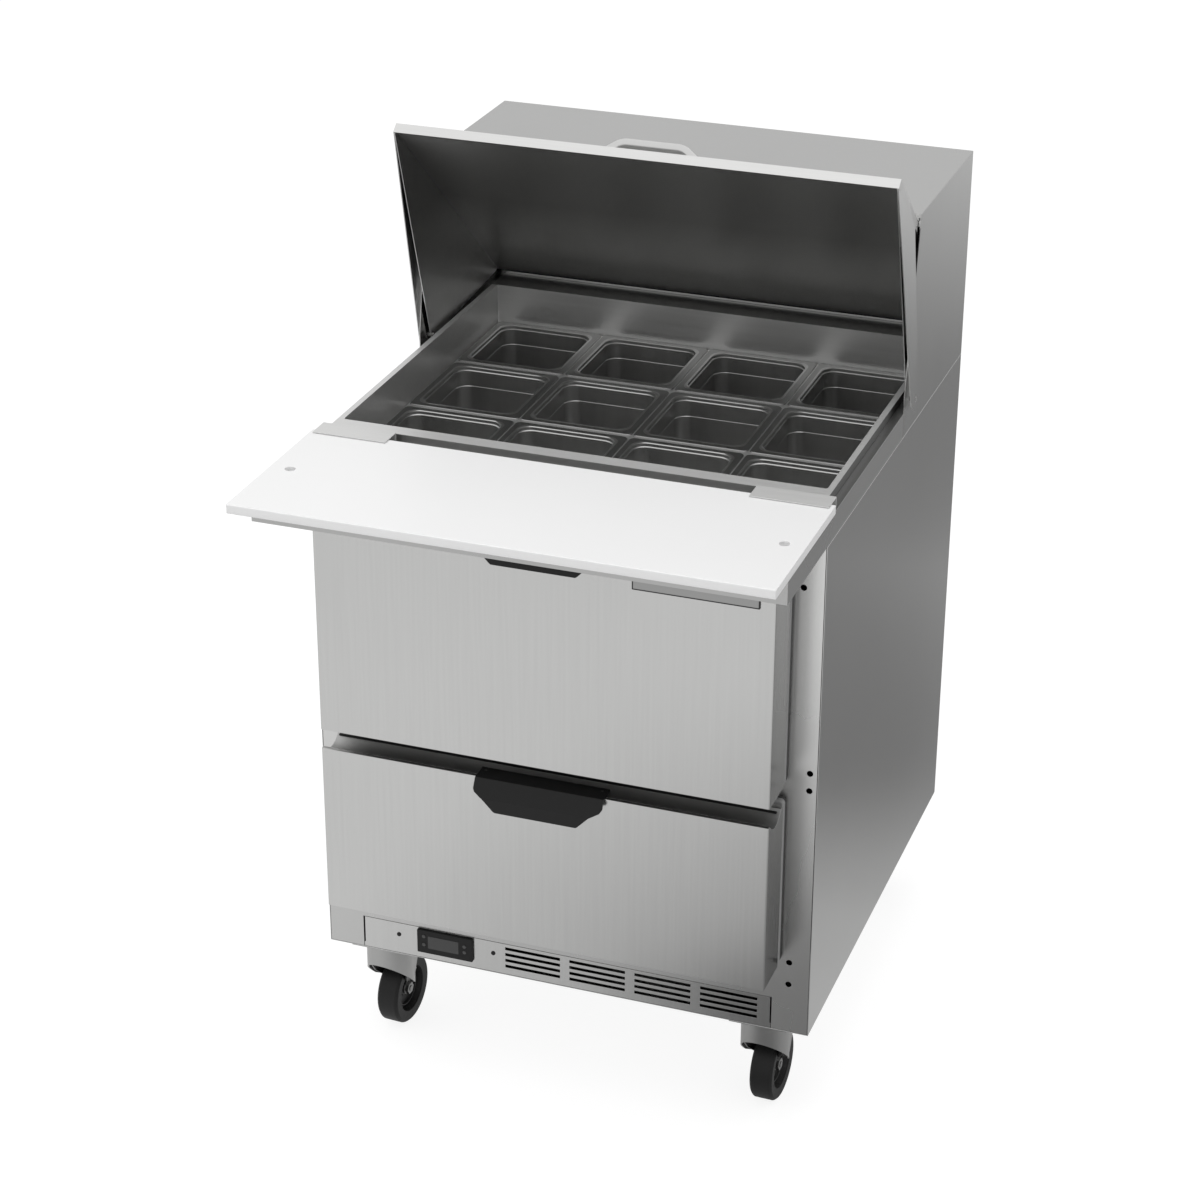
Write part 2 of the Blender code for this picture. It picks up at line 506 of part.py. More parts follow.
build_cabinet()
build_worktop()
build_pans()
build_drawers()
build_panel()
build_hood()
build_lid()
build_casters()
build_machine()
lid_object = bpy.data.objects["lid"]
lid_object.data.transform(Matrix.Translation(-PIVOT))
lid_object.location = PIVOT
settle()
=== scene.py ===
import bpy
import bmesh
import json
from math import pi, radians
from mathutils import Matrix, Vector


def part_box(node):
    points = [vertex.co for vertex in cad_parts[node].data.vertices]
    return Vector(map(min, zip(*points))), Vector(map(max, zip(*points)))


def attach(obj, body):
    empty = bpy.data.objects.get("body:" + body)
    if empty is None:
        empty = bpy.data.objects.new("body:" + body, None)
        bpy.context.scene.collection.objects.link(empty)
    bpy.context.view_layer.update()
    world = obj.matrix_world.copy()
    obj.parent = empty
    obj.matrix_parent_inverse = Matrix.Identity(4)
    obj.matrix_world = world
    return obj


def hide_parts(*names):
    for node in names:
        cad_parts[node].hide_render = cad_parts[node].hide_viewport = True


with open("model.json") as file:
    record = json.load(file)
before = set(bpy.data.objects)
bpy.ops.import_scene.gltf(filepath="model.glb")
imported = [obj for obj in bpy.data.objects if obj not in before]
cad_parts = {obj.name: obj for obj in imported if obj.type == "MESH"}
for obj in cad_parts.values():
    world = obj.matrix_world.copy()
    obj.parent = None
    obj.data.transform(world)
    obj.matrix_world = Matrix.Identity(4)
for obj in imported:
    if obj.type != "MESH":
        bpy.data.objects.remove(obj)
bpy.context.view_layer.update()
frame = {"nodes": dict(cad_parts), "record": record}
cadNodes = frame["nodes"]
print("frame loaded:", len(cadNodes), "nodes")

sides = {"left": -1, "right": 1}
# lengths in metres, angles in degrees
meshing = {"merge": 0.00002, "same": 0.00001, "flat": 0.5, "rounded": 35, "crease": 32, "evenness": 50}
facing = 0.5  # a face looks along an axis when its normal's share is past this
# pieces are drawn from the stile face and the cabinet's underside, then moved into place
shift = Vector((0, -0.228, 0.157))


def seat(bm):
    bmesh.ops.translate(bm, vec=shift, verts=bm.verts)


def addBox(bm, low, high):
    made = bmesh.ops.create_cube(bm, size=1.0)["verts"]
    size = Vector(high) - Vector(low)
    bmesh.ops.scale(bm, vec=size, verts=made)
    bmesh.ops.translate(bm, vec=(Vector(low) + Vector(high)) / 2, verts=made)
    return made


def addRod(bm, centre, axis, radius, length, sections):
    made = bmesh.ops.create_cone(bm, cap_ends=True, segments=sections, radius1=radius, radius2=radius,
                                 depth=length)["verts"]
    if axis != "Z":
        about = "Y" if axis == "X" else "X"
        bmesh.ops.rotate(bm, cent=(0, 0, 0), matrix=Matrix.Rotation(pi / 2, 3, about), verts=made)
    bmesh.ops.translate(bm, vec=centre, verts=made)
    return made


def sharpEdges(bm, above=meshing["rounded"], verts=None):
    chosen = set(verts) if verts else None
    return [e for e in bm.edges if len(e.link_faces) == 2 and e.calc_face_angle(0.0) > radians(above)
            and (chosen is None or chosen.issuperset(e.verts))]


def roundOff(bm, width, steps=2, above=meshing["rounded"], edges=None):
    edges = sharpEdges(bm, above) if edges is None else edges
    bmesh.ops.bevel(bm, geom=edges, offset=width, offset_type="OFFSET", affect="EDGES", segments=steps,
                    profile=0.5, clamp_overlap=True, material=-1)


def easedBox(bm, low, high, ease, steps=2):
    made = addBox(bm, low, high)
    roundOff(bm, ease, steps, edges=sharpEdges(bm, verts=made))


def easedRod(bm, centre, axis, radius, length, sections, ease, steps=2):
    made = addRod(bm, centre, axis, radius, length, sections)
    roundOff(bm, ease, steps, edges=sharpEdges(bm, verts=made))


def scoreAt(bm, place, way, geom=None, cut=False):
    # an edge across the faces at a plane, and with cut, nothing left past it
    geom = bm.verts[:] + bm.edges[:] + bm.faces[:] if geom is None else geom
    bmesh.ops.bisect_plane(bm, geom=geom, plane_co=place, plane_no=way, clear_outer=cut)


def flatFace(bm, points):
    return bm.faces.new([bm.verts.new(point) for point in points])


def pushOut(bm, faces, way):
    made = bmesh.ops.extrude_face_region(bm, geom=faces)["geom"]
    bmesh.ops.translate(bm, vec=way, verts=[v for v in made if isinstance(v, bmesh.types.BMVert)])
    bmesh.ops.recalc_face_normals(bm, faces=bm.faces)


def profileAlongX(bm, outline, low, high):
    face = flatFace(bm, [(low, y, z) for y, z in outline])
    pushOut(bm, [face], (high - low, 0, 0))


def roundedFace(bm, low, high, radius, steps, put):
    # four corners, each bevelled into an arc
    known = set(bm.faces)
    square = ((low[0], low[1]), (high[0], low[1]), (high[0], high[1]), (low[0], high[1]))
    face = flatFace(bm, [put(a, b) for a, b in square])
    bmesh.ops.bevel(bm, geom=list(face.verts), offset=radius, offset_type="OFFSET", affect="VERTICES",
                    segments=steps, profile=0.5, clamp_overlap=True, material=-1)
    return [face for face in bm.faces if face not in known][0]


def addPlate(bm, low, high, corner, cornerSteps, front, depth, edge, edgeSteps=2):
    # an upright plate with rounded corners, its front at the given place
    face = roundedFace(bm, low, high, corner, cornerSteps, lambda a, b: (a, front, b))
    pushOut(bm, [face], (0, depth, 0))
    roundOff(bm, edge, edgeSteps)


def loft(bm, rings, steps, capped=True):
    # rounded rings, each (low, high, radius, put), bridged one to the next
    faces = [roundedFace(bm, low, high, radius, steps, put) for low, high, radius, put in rings]
    loops = [list(face.edges) for face in faces]
    for face in faces[:-1] if capped else faces:
        bmesh.ops.delete(bm, geom=[face], context="FACES_ONLY")
    for first, second in zip(loops, loops[1:]):
        bmesh.ops.bridge_loops(bm, edges=first + second)
    if not capped:
        bmesh.ops.bridge_loops(bm, edges=loops[-1] + loops[0])
    bmesh.ops.recalc_face_normals(bm, faces=bm.faces)


def turned(bm, profile, centre, steps):
    # a closed (radius, along) profile taken once round the X axis
    verts = [bm.verts.new(Vector((h, r, 0)) + Vector(centre)) for r, h in profile]
    edges = [bm.edges.new(pair) for pair in zip(verts, verts[1:] + verts[:1])]
    bmesh.ops.spin(bm, geom=verts + edges, cent=centre, axis=(1, 0, 0), angle=2 * pi, steps=steps,
                   use_merge=True)
    bmesh.ops.recalc_face_normals(bm, faces=bm.faces)


def copyOfNode(node):
    # a CAD node's loose triangles, merged, with its flat stretches made whole again
    bm = bmesh.new()
    bm.from_mesh(cadNodes[node].data)
    bmesh.ops.remove_doubles(bm, verts=bm.verts, dist=meshing["merge"])
    bmesh.ops.dissolve_limit(bm, angle_limit=radians(meshing["flat"]), verts=bm.verts, edges=bm.edges,
                             delimit={"NORMAL"})
    return bm


def dressFaces(bm, names, choose):
    # choose(normal, middle) gives each face's finish, one of the names
    for face in bm.faces:
        face.material_index = names.index(choose(face.normal, face.calc_center_median()))


def finishPiece(name, bm, finish, body, nodes=()):
    mesh = bpy.data.meshes.new(name)
    bm.to_mesh(mesh)
    bm.free()
    piece = bpy.data.objects.new(name, mesh)
    bpy.context.scene.collection.objects.link(piece)
    for each in (finish,) if isinstance(finish, str) else finish:
        mesh.materials.append(finishes[each])
    mesh.shade_smooth()
    mesh.set_sharp_from_angle(angle=radians(meshing["crease"]))
    even = piece.modifiers.new("evenFlats", "WEIGHTED_NORMAL")
    even.keep_sharp = True
    even.weight = meshing["evenness"]
    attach(piece, body)
    if nodes:
        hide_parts(*nodes)


viewpoint = {"place": (1.1736, -3.3677, 2.3726), "azimuth": 19.676, "elevation": 26.005,
             "roll": 0.203, "lens": 88.575, "sensor": 36, "sight": 50}


def setCamera():
    turn = (Matrix.Rotation(radians(viewpoint["azimuth"]), 4, "Z")
            @ Matrix.Rotation(radians(90 - viewpoint["elevation"]), 4, "X")
            @ Matrix.Rotation(radians(viewpoint["roll"]), 4, "Z"))
    data = bpy.data.cameras.new("camera")
    data.lens = viewpoint["lens"]
    data.sensor_width = viewpoint["sensor"]
    data.clip_end = viewpoint["sight"]
    camera = bpy.data.objects.new("camera", data)
    camera.matrix_world = Matrix.Translation(viewpoint["place"]) @ turn
    bpy.context.scene.collection.objects.link(camera)
    bpy.context.scene.camera = camera


def newMaterial(name):
    material = bpy.data.materials.new(name)
    material.use_nodes = True
    tree = material.node_tree
    tree.nodes.clear()
    output = tree.nodes.new("ShaderNodeOutputMaterial")
    return material, tree, output


def mathNode(tree, operation, *values):
    node = tree.nodes.new("ShaderNodeMath")
    node.operation = operation
    for socket, value in zip(node.inputs, values):
        if isinstance(value, (int, float)):
            socket.default_value = value
        else:
            tree.links.new(value, socket)
    return node.outputs[0]


def noiseNode(tree, vector, scale, detail=2.0):
    node = tree.nodes.new("ShaderNodeTexNoise")
    node.inputs["Scale"].default_value = scale
    node.inputs["Detail"].default_value = detail
    tree.links.new(vector, node.inputs["Vector"])
    return node.outputs["Fac"]


def rangeNode(tree, value, low, high, start=0.0, end=1.0):
    # takes a value that runs from start to end, and gives one from low to high
    node = tree.nodes.new("ShaderNodeMapRange")
    for name, number in (("From Min", start), ("From Max", end), ("To Min", low), ("To Max", high)):
        node.inputs[name].default_value = number
    tree.links.new(value, node.inputs["Value"])
    return node.outputs[0]


def seenRays(tree):
    # one where the eye, a mirror or glass looks, nought for the light that falls on things
    rays = tree.nodes.new("ShaderNodeLightPath")
    either = mathNode(tree, "MAXIMUM", rays.outputs["Is Camera Ray"], rays.outputs["Is Glossy Ray"])
    return mathNode(tree, "MAXIMUM", either, rays.outputs["Is Transmission Ray"]), rays


def plainDiffuse(tree, tone):
    shader = tree.nodes.new("ShaderNodeBsdfDiffuse")
    shader.inputs["Color"].default_value = (tone, tone, tone, 1)
    return shader


def glow(tree, strength):
    shader = tree.nodes.new("ShaderNodeEmission")
    if isinstance(strength, (int, float)):
        shader.inputs["Strength"].default_value = strength
    else:
        tree.links.new(strength, shader.inputs["Strength"])
    return shader


def joined(tree, kind, first, second, share=None):
    node = tree.nodes.new("ShaderNodeAddShader" if kind == "add" else "ShaderNodeMixShader")
    start = 0 if kind == "add" else 1
    if share is not None:
        tree.links.new(share, node.inputs[0])
    tree.links.new(first.outputs[0], node.inputs[start])
    tree.links.new(second.outputs[0], node.inputs[start + 1])
    return node


# painted shadows: each is a soft dark patch painted into the floor's glow that only the steel mirrors,
# standing in for the object's shadow: its place, its reach and its depth
studio = {"floorSize": 16.0, "floorTone": 0.8, "shadowTone": 0.27, "glow": 0.86, "mirrorGlow": 0.62,
          "mirrorTone": 0.30, "skyLight": 0.62,
          "paintedShadows": (((0.58, -0.72), (1.05, 1.05), 0.60), ((0.95, 2.10), (1.25, 2.70), 0.78),
                    ((0.62, 0.80), (0.75, 0.75), 0.36), ((0.47, -0.62), (0.36, 0.55), 0.20),
                    ((0.36, -0.56), (0.44, 0.36), 0.52)),
          "sky": ((0.0, 0.62), (0.5, 0.66), (0.72, 0.72), (0.90, 1.05), (1.0, 1.25)), "headroom": 2.0,
          "lamps": (("topLamp", (-0.2, -0.6, 3.4), (0, 0, 0.6), 2.6, 45),
                    ("leftLamp", (-3.4, -2.2, 2.4), (0, 0, 0.6), 2.2, 6))}


def floorPaint():
    paint, tree, output = newMaterial("floorPaint")
    seen, rays = seenRays(tree)
    place = tree.nodes.new("ShaderNodeTexCoord")
    level = studio["mirrorGlow"]
    # each painted shadow takes a soft patch off the glow that the steel mirrors
    for (x, y), (wide, deep), depth in studio["paintedShadows"]:
        spot = tree.nodes.new("ShaderNodeMapping")
        spot.inputs["Location"].default_value = (-x / wide, -y / deep, 0)
        spot.inputs["Scale"].default_value = (1 / wide, 1 / deep, 1)
        tree.links.new(place.outputs["Object"], spot.inputs["Vector"])
        paintedShadow = tree.nodes.new("ShaderNodeTexGradient")
        paintedShadow.gradient_type = "SPHERICAL"
        tree.links.new(spot.outputs[0], paintedShadow.inputs["Vector"])
        level = mathNode(tree, "SUBTRACT", level, mathNode(tree, "MULTIPLY", paintedShadow.outputs["Fac"], depth))
    level = mathNode(tree, "MAXIMUM", level, 0.0)
    shown = joined(tree, "add", plainDiffuse(tree, studio["shadowTone"]), glow(tree, studio["glow"]))
    mirrored = joined(tree, "add", plainDiffuse(tree, studio["mirrorTone"]), glow(tree, level))
    either = joined(tree, "mix", shown, mirrored, rays.outputs["Is Glossy Ray"])
    floor = joined(tree, "mix", plainDiffuse(tree, studio["floorTone"]), either, seen)
    tree.links.new(floor.outputs[0], output.inputs["Surface"])
    return paint


def buildStudio():
    bm = bmesh.new()
    bmesh.ops.create_grid(bm, x_segments=1, y_segments=1, size=studio["floorSize"] / 2)
    mesh = bpy.data.meshes.new("floor")
    bm.to_mesh(mesh)
    bm.free()
    floor = bpy.data.objects.new("floor", mesh)
    bpy.context.scene.collection.objects.link(floor)
    mesh.materials.append(floorPaint())
    for name, place, target, size, power in studio["lamps"]:
        data = bpy.data.lights.new(name, "AREA")
        data.shape = "SQUARE"
        data.size = size
        data.energy = power
        lamp = bpy.data.objects.new(name, data)
        lamp.location = place
        lamp.visible_glossy = False
        lamp.rotation_euler = (Vector(place) - Vector(target)).to_track_quat("Z", "Y").to_euler()
        bpy.context.scene.collection.objects.link(lamp)
    buildSky()
    bpy.context.scene.view_settings.view_transform = "Standard"


def buildSky():
    # white to the eye, a soft rise towards the zenith in the steel, and even light on things
    world = bpy.data.worlds.new("studio")
    bpy.context.scene.world = world
    world.use_nodes = True
    tree = world.node_tree
    tree.nodes.clear()
    output = tree.nodes.new("ShaderNodeOutputWorld")
    seen, rays = seenRays(tree)
    place = tree.nodes.new("ShaderNodeTexCoord")
    parts = tree.nodes.new("ShaderNodeSeparateXYZ")
    tree.links.new(place.outputs["Generated"], parts.inputs[0])
    height = mathNode(tree, "MULTIPLY_ADD", parts.outputs["Z"], 0.5, 0.5)
    ramp = tree.nodes.new("ShaderNodeValToRGB")
    tree.links.new(height, ramp.inputs[0])
    steps = studio["sky"]
    while len(ramp.color_ramp.elements) < len(steps):
        ramp.color_ramp.elements.new(0.5)
    # a ramp's tones end at one, so they are divided here and multiplied after it
    for element, (where, tone) in zip(ramp.color_ramp.elements, steps):
        element.position = where
        element.color = [tone / studio["headroom"]] * 3 + [1]
    rise = mathNode(tree, "MULTIPLY", ramp.outputs["Color"], studio["headroom"])
    backdrops = {}
    for name in ("lit", "shown", "mirrored"):
        backdrops[name] = tree.nodes.new("ShaderNodeBackground")
        backdrops[name].inputs["Color"].default_value = (1, 1, 1, 1)
    backdrops["lit"].inputs["Strength"].default_value = studio["skyLight"]
    tree.links.new(rise, backdrops["mirrored"].inputs["Strength"])
    either = joined(tree, "mix", backdrops["shown"], backdrops["mirrored"], rays.outputs["Is Glossy Ray"])
    sky = joined(tree, "mix", backdrops["lit"], either, seen)
    tree.links.new(sky.outputs[0], output.inputs["Surface"])


def surface(tree, output, tone, level, gloss, height, bump, depth):
    # level scales the tone, gloss is the roughness, and height drives the fine relief
    link = tree.links.new
    shader = tree.nodes.new("ShaderNodeBsdfPrincipled")
    colour = tree.nodes.new("ShaderNodeVectorMath")
    colour.operation = "SCALE"
    colour.inputs[0].default_value = tone
    link(level, colour.inputs["Scale"])
    link(colour.outputs[0], shader.inputs["Base Color"])
    link(gloss, shader.inputs["Roughness"])
    relief = tree.nodes.new("ShaderNodeBump")
    relief.inputs["Strength"].default_value = bump
    relief.inputs["Distance"].default_value = depth
    link(height, relief.inputs["Height"])
    link(relief.outputs[0], shader.inputs["Normal"])
    link(shader.outputs[0], output.inputs["Surface"])
    return shader


def paintedLightAlong(tree, place, paintedLight):
    # painted light and shade: a tone that drifts along one axis of the sheet, lighter at one end and darker
    # at the other
    axis, low, high, start, end = paintedLight
    parts = tree.nodes.new("ShaderNodeSeparateXYZ")
    tree.links.new(place.outputs["Object"], parts.inputs[0])
    return rangeNode(tree, parts.outputs[axis], start, end, low, high)


brushing = {"detail": 3.0, "clouds": 3.0, "gloss": (0.85, 1.15), "depth": 0.0005, "blue": 0.99}


def metalFinish(name, tone, rough, grain=(260, 260, 5), streak=0.05, cloud=0.04, bump=0.03, metallic=1.0,
                paintedLight=None):
    # brushed sheet: streaks along the axis with the smallest grain number, slow clouds over the sheet
    material, tree, output = newMaterial(name)
    place = tree.nodes.new("ShaderNodeTexCoord")
    stretch = tree.nodes.new("ShaderNodeMapping")
    stretch.inputs["Scale"].default_value = grain
    tree.links.new(place.outputs["Object"], stretch.inputs["Vector"])
    streaks = noiseNode(tree, stretch.outputs[0], 1.0, brushing["detail"])
    clouds = noiseNode(tree, place.outputs["Object"], brushing["clouds"])
    level = mathNode(tree, "MULTIPLY", rangeNode(tree, streaks, 1.0 - streak, 1.0 + streak),
                     rangeNode(tree, clouds, 1.0 - cloud, 1.0 + cloud))
    # painted light and shade: the tone may drift along one axis, lighter at one end and darker at the other
    if paintedLight:
        level = mathNode(tree, "MULTIPLY", level, paintedLightAlong(tree, place, paintedLight))
    least, most = brushing["gloss"]
    gloss = rangeNode(tree, streaks, rough * least, rough * most)
    shader = surface(tree, output, (tone, tone, tone * brushing["blue"]), level, gloss, streaks, bump,
                     brushing["depth"])
    shader.inputs["Metallic"].default_value = metallic
    return material


moulding = {"drift": 9.0, "gloss": (0.9, 1.1), "depth": 0.0003}


def plasticFinish(name, tone, rough, grit=400, bump=0.05, vary=0.06, specular=0.5):
    # moulded plastic or rubber: fine grit in the bump, slight drift in tone and gloss
    material, tree, output = newMaterial(name)
    place = tree.nodes.new("ShaderNodeTexCoord")
    grain = noiseNode(tree, place.outputs["Object"], grit)
    drift = noiseNode(tree, place.outputs["Object"], moulding["drift"])
    level = rangeNode(tree, drift, 1.0 - vary, 1.0 + vary)
    least, most = moulding["gloss"]
    gloss = rangeNode(tree, grain, rough * least, min(1.0, rough * most))
    shader = surface(tree, output, (tone, tone, tone), level, gloss, grain, bump, moulding["depth"])
    shader.inputs["Specular IOR Level"].default_value = specular
    return material


finishes = {
    "stainless": metalFinish("stainlessUpright", 0.58, 0.22),
    "stainlessLevel": metalFinish("stainlessLevel", 0.68, 0.40, grain=(5, 260, 260), metallic=0.55),
    # painted shade: the drawer fronts' troughs and side faces are darker copies of the stainless
    "trough": metalFinish("troughShade", 0.47, 0.45),
    "drawerSideShade": metalFinish("drawerSideShade", 0.31, 0.26),
    # painted light and shade: the face frame darker low down and lighter higher up
    "frame": metalFinish("frameSteelPaintedLight", 0.66, 0.27, grain=(6, 6, 3), streak=0.01, bump=0.0, metallic=0.92,
                         paintedLight=("Z", 0.25, 0.65, 0.84, 1.15)),
    # painted shade: the hood's side faces darker towards the top
    "hoodSideShaded": metalFinish("hoodSideShaded", 0.58, 0.22, paintedLight=("Z", 0.96, 1.16, 1.0, 0.84)),
    # painted shade: the grille panel darker towards its right-hand end
    "panel": metalFinish("panelSteel", 0.58, 0.22, paintedLight=("X", 0.0, 0.30, 1.0, 0.84)),
    "worktop": metalFinish("worktopSteel", 0.48, 0.28, grain=(6, 3, 6), streak=0.01, bump=0.0,
                           metallic=0.92),
    # painted shade: the rail's outer side, its front wall and its rear strip by the hood are darker copies
    # of the well's steel
    "railSideShade": metalFinish("railSideShade", 0.10, 0.34, grain=(5, 5, 60), streak=0.02, bump=0.0),
    "railFrontShade": metalFinish("railFrontShade", 0.52, 0.30, grain=(5, 60, 60), streak=0.02, bump=0.0),
    "railShade": metalFinish("railShade", 0.36, 0.34, grain=(5, 60, 60), streak=0.02, bump=0.0),
    # painted highlight: the lid's lip is a lighter copy of the stainless
    "lip": metalFinish("lipLitSteel", 0.66, 0.30, grain=(5, 260, 260)),
    # painted shade: the pans' flanges are a darker copy of the pan steel
    "panFlange": metalFinish("panFlange", 0.34, 0.36, grain=(5, 160, 160), bump=0.0),
    "nut": metalFinish("nutSteel", 0.26, 0.36, grain=(60, 60, 60)),
    "bracket": metalFinish("bracketSteel", 0.64, 0.42, grain=(5, 260, 260), metallic=0.35),
    "bow": metalFinish("bowSteel", 0.62, 0.42),
    "badge": metalFinish("badgeSteel", 0.35, 0.30, grain=(5, 260, 260)),
    "wellSteel": metalFinish("wellSteel", 0.74, 0.36, grain=(5, 200, 200), metallic=0.85),
    # painted light and shade: the lid's underside and inner sides lighter low down and darker higher up
    "lidSteelPaintedLight": metalFinish("lidSteelPaintedLight", 0.58, 0.34, paintedLight=("Z", 0.96, 1.10, 1.35, 0.72)),
    "pan": metalFinish("polishedPan", 0.54, 0.36, grain=(160, 160, 8), streak=0.04, bump=0.01),
    "rack": metalFinish("rackSteel", 0.45, 0.30, grain=(5, 200, 200)),
    "liner": metalFinish("linerSheet", 0.60, 0.35, grain=(200, 200, 8)),
    "zinc": metalFinish("zincPlate", 0.42, 0.38, grain=(60, 60, 60), cloud=0.08),
    "fins": metalFinish("coilFins", 0.60, 0.45, grain=(90, 90, 90)),
    "board": plasticFinish("boardPlastic", 0.81, 0.42, grit=900, bump=0.03, vary=0.008),
    # painted highlight: the board's outer edges are a lighter copy of the board
    "boardEdgeLit": plasticFinish("boardEdgeLit", 0.95, 0.42, grit=900, bump=0.03, vary=0.008),
    "black": plasticFinish("blackPlastic", 0.018, 0.42, grit=700, bump=0.08),
    "gripPlastic": plasticFinish("gripPlastic", 0.010, 0.5, grit=700, bump=0.08, specular=0.3),
    "hub": plasticFinish("wheelHub", 0.020, 0.45, grit=500, bump=0.05),
    "screen": plasticFinish("screenGlass", 0.060, 0.16, grit=300, bump=0.0),
    "keys": plasticFinish("keyPlastic", 0.075, 0.35, grit=600, bump=0.03),
    "rubber": plasticFinish("gasketRubber", 0.34, 0.6, grit=300, bump=0.08),
    # painted shade: the gasket's front part, next to the drawer, is a near-black copy of the rubber
    "gasketShade": plasticFinish("gasketShade", 0.05, 0.6, grit=300, bump=0.08),
    "tread": plasticFinish("wheelTread", 0.011, 0.55, grit=260, bump=0.08, specular=0.35),
    # black paint on the compressor and the badge's border, and painted shade on the lid's side blades
    "paint": plasticFinish("blackPaintAndShade", 0.02, 0.35, grit=500, bump=0.04),
}

slotFinish = {"stainless": "stainless", "rack_steel": "rack", "pan_steel": "pan", "liner_aluminium": "liner",
              "board_plastic": "board", "black_plastic": "black", "gasket_rubber": "rubber",
              "zinc_steel": "zinc", "wheel_rubber": "tread", "black_paint": "paint", "coil_fins": "fins"}
slotOf = {row["node"]: row["material_slot"] for row in frame["record"]["subparts"]}


def paintNodes():
    for node, slotName in slotOf.items():
        cadNodes[node].data.materials.clear()
        cadNodes[node].data.materials.append(finishes[slotFinish[slotName]])


rail = {"rear": 0.3722, "outer": 0.3302, "front": -0.1866, "lip": 0.0010}
blade = {"corner": (0.1561, 1.1621), "reach": 0.0030, "drop": (0, -0.0122, -0.0100), "plate": 0.3386,
         "shadeTop": 1.1447, "slack": 0.0003, "flat": 0.00015}


def onBlade(normal, middle):
    # the outer side of one of the lid's side blades
    return abs(abs(middle.x) - blade["plate"]) < blade["flat"] and normal.x * middle.x > 0


def trimBlades(bm):
    # the blades' upper corners sit a little lower than the skin's edge
    y, z = blade["corner"]
    tips = [v for v in bm.verts if abs(v.co.y - y) < blade["reach"] and abs(v.co.z - z) < blade["reach"]
            and abs(v.co.x) > blade["plate"] - blade["slack"]]
    bmesh.ops.translate(bm, vec=blade["drop"], verts=tips)
    # an edge across the blades' outer faces at shadeTop; below it they are painted black as painted shade
    plates = [f for f in bm.faces if onBlade(f.normal, f.calc_center_median())]
    geom = list({v for f in plates for v in f.verts}) + list({e for f in plates for e in f.edges}) + plates
    scoreAt(bm, (0, 0, blade["shadeTop"]), (0, 0, 1), geom)


def lidFinish(normal, middle):
    # duller underneath and between the side blades, with painted light and shade there; the blades' outer
    # faces are painted black below shadeTop as painted shade, and the lip is a lighter copy as a painted
    # highlight
    if normal.y < -facing and normal.z > facing:
        return "lip"
    if onBlade(normal, middle):
        return "paint" if middle.z < blade["shadeTop"] else "bracket"
    inner = normal.x * middle.x < -facing * abs(middle.x)
    under = normal.y < -facing and normal.z < 0
    return "lidSteelPaintedLight" if under or inner else "stainless"


def railFinish(normal, middle):
    # brighter on top; painted shade darkens the rear strip towards the hood, the outer side and the front
    # wall
    if normal.z < facing and middle.x > rail["outer"]:
        return "railSideShade"
    if normal.z < facing and middle.y < rail["front"]:
        return "railFrontShade"
    if normal.z > facing and middle.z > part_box("well_liner")[1][2] - rail["lip"]:
        return "railShade" if middle.y > rail["rear"] else "stainlessLevel"
    return "wellSteel"


# sheet parts whose CAD shape stays: node, body, width of the eased edges, finish
sheetParts = {
    "cabinetShell": ("cabinet_shell", "cabinet", 0.0009, "stainless"),
    "faceFrame": ("face_frame", "cabinet", 0.0005, "frame"),
    "worktopSheet": ("worktop", "cabinet", 0.0010, "worktop"),
    "wellRail": ("well_liner", "cabinet", 0.0004,
                 ("wellSteel", "stainlessLevel", "railShade", "railSideShade", "railFrontShade")),
    "grillePanel": ("grille_panel", "cabinet", 0.0003, "panel"),
    "linerBox": ("inner_liner", "cabinet", 0.0004, "liner"),
    "bracketLeft": ("board_bracket_left", "cabinet", 0.0004, "bracket"),
    "bracketRight": ("board_bracket_right", "cabinet", 0.0004, "bracket"),
    "panRack": ("pan_rack", "cabinet", 0.0004, "wellSteel"),
    "lidShell": ("lid", "lid", 0.0004, ("stainless", "lidSteelPaintedLight", "paint", "bracket", "lip")),
    "drawerBackUpper": ("drawer_back_upper", "drawer_upper", 0.0008, "liner"),
    "drawerBackLower": ("drawer_back_lower", "drawer_lower", 0.0008, "liner"),
    "drawerFrameUpper": ("drawer_frame_upper", "drawer_upper", 0.0004, "rack"),
    "drawerFrameLower": ("drawer_frame_lower", "drawer_lower", 0.0004, "rack"),
    "railUpperLeft": ("slide_rail_upper_left", "cabinet", 0.0003, "zinc"),
    "railUpperRight": ("slide_rail_upper_right", "cabinet", 0.0003, "zinc"),
    "railLowerLeft": ("slide_rail_lower_left", "cabinet", 0.0003, "zinc"),
    "railLowerRight": ("slide_rail_lower_right", "cabinet", 0.0003, "zinc"),
    "condenserFan": ("condenser_fan", "condenser_fan", 0.0006, "black"),
    "evaporatorFan": ("evaporator_fan", "evaporator_fan", 0.0006, "black"),
}
severalFinishes = {"lidShell": lidFinish, "wellRail": railFinish}


def buildSheets():
    for name, (node, body, width, finish) in sheetParts.items():
        bm = copyOfNode(node)
        if name == "lidShell":
            trimBlades(bm)
        if name == "wellRail":
            # an edge across the rail at its rear line, behind which its top takes painted shade
            scoreAt(bm, (0, rail["rear"], 0), (0, 1, 0))
        roundOff(bm, width)
        if name in severalFinishes:
            dressFaces(bm, finish, severalFinishes[name])
        finishPiece(name, bm, finish, body, [node])


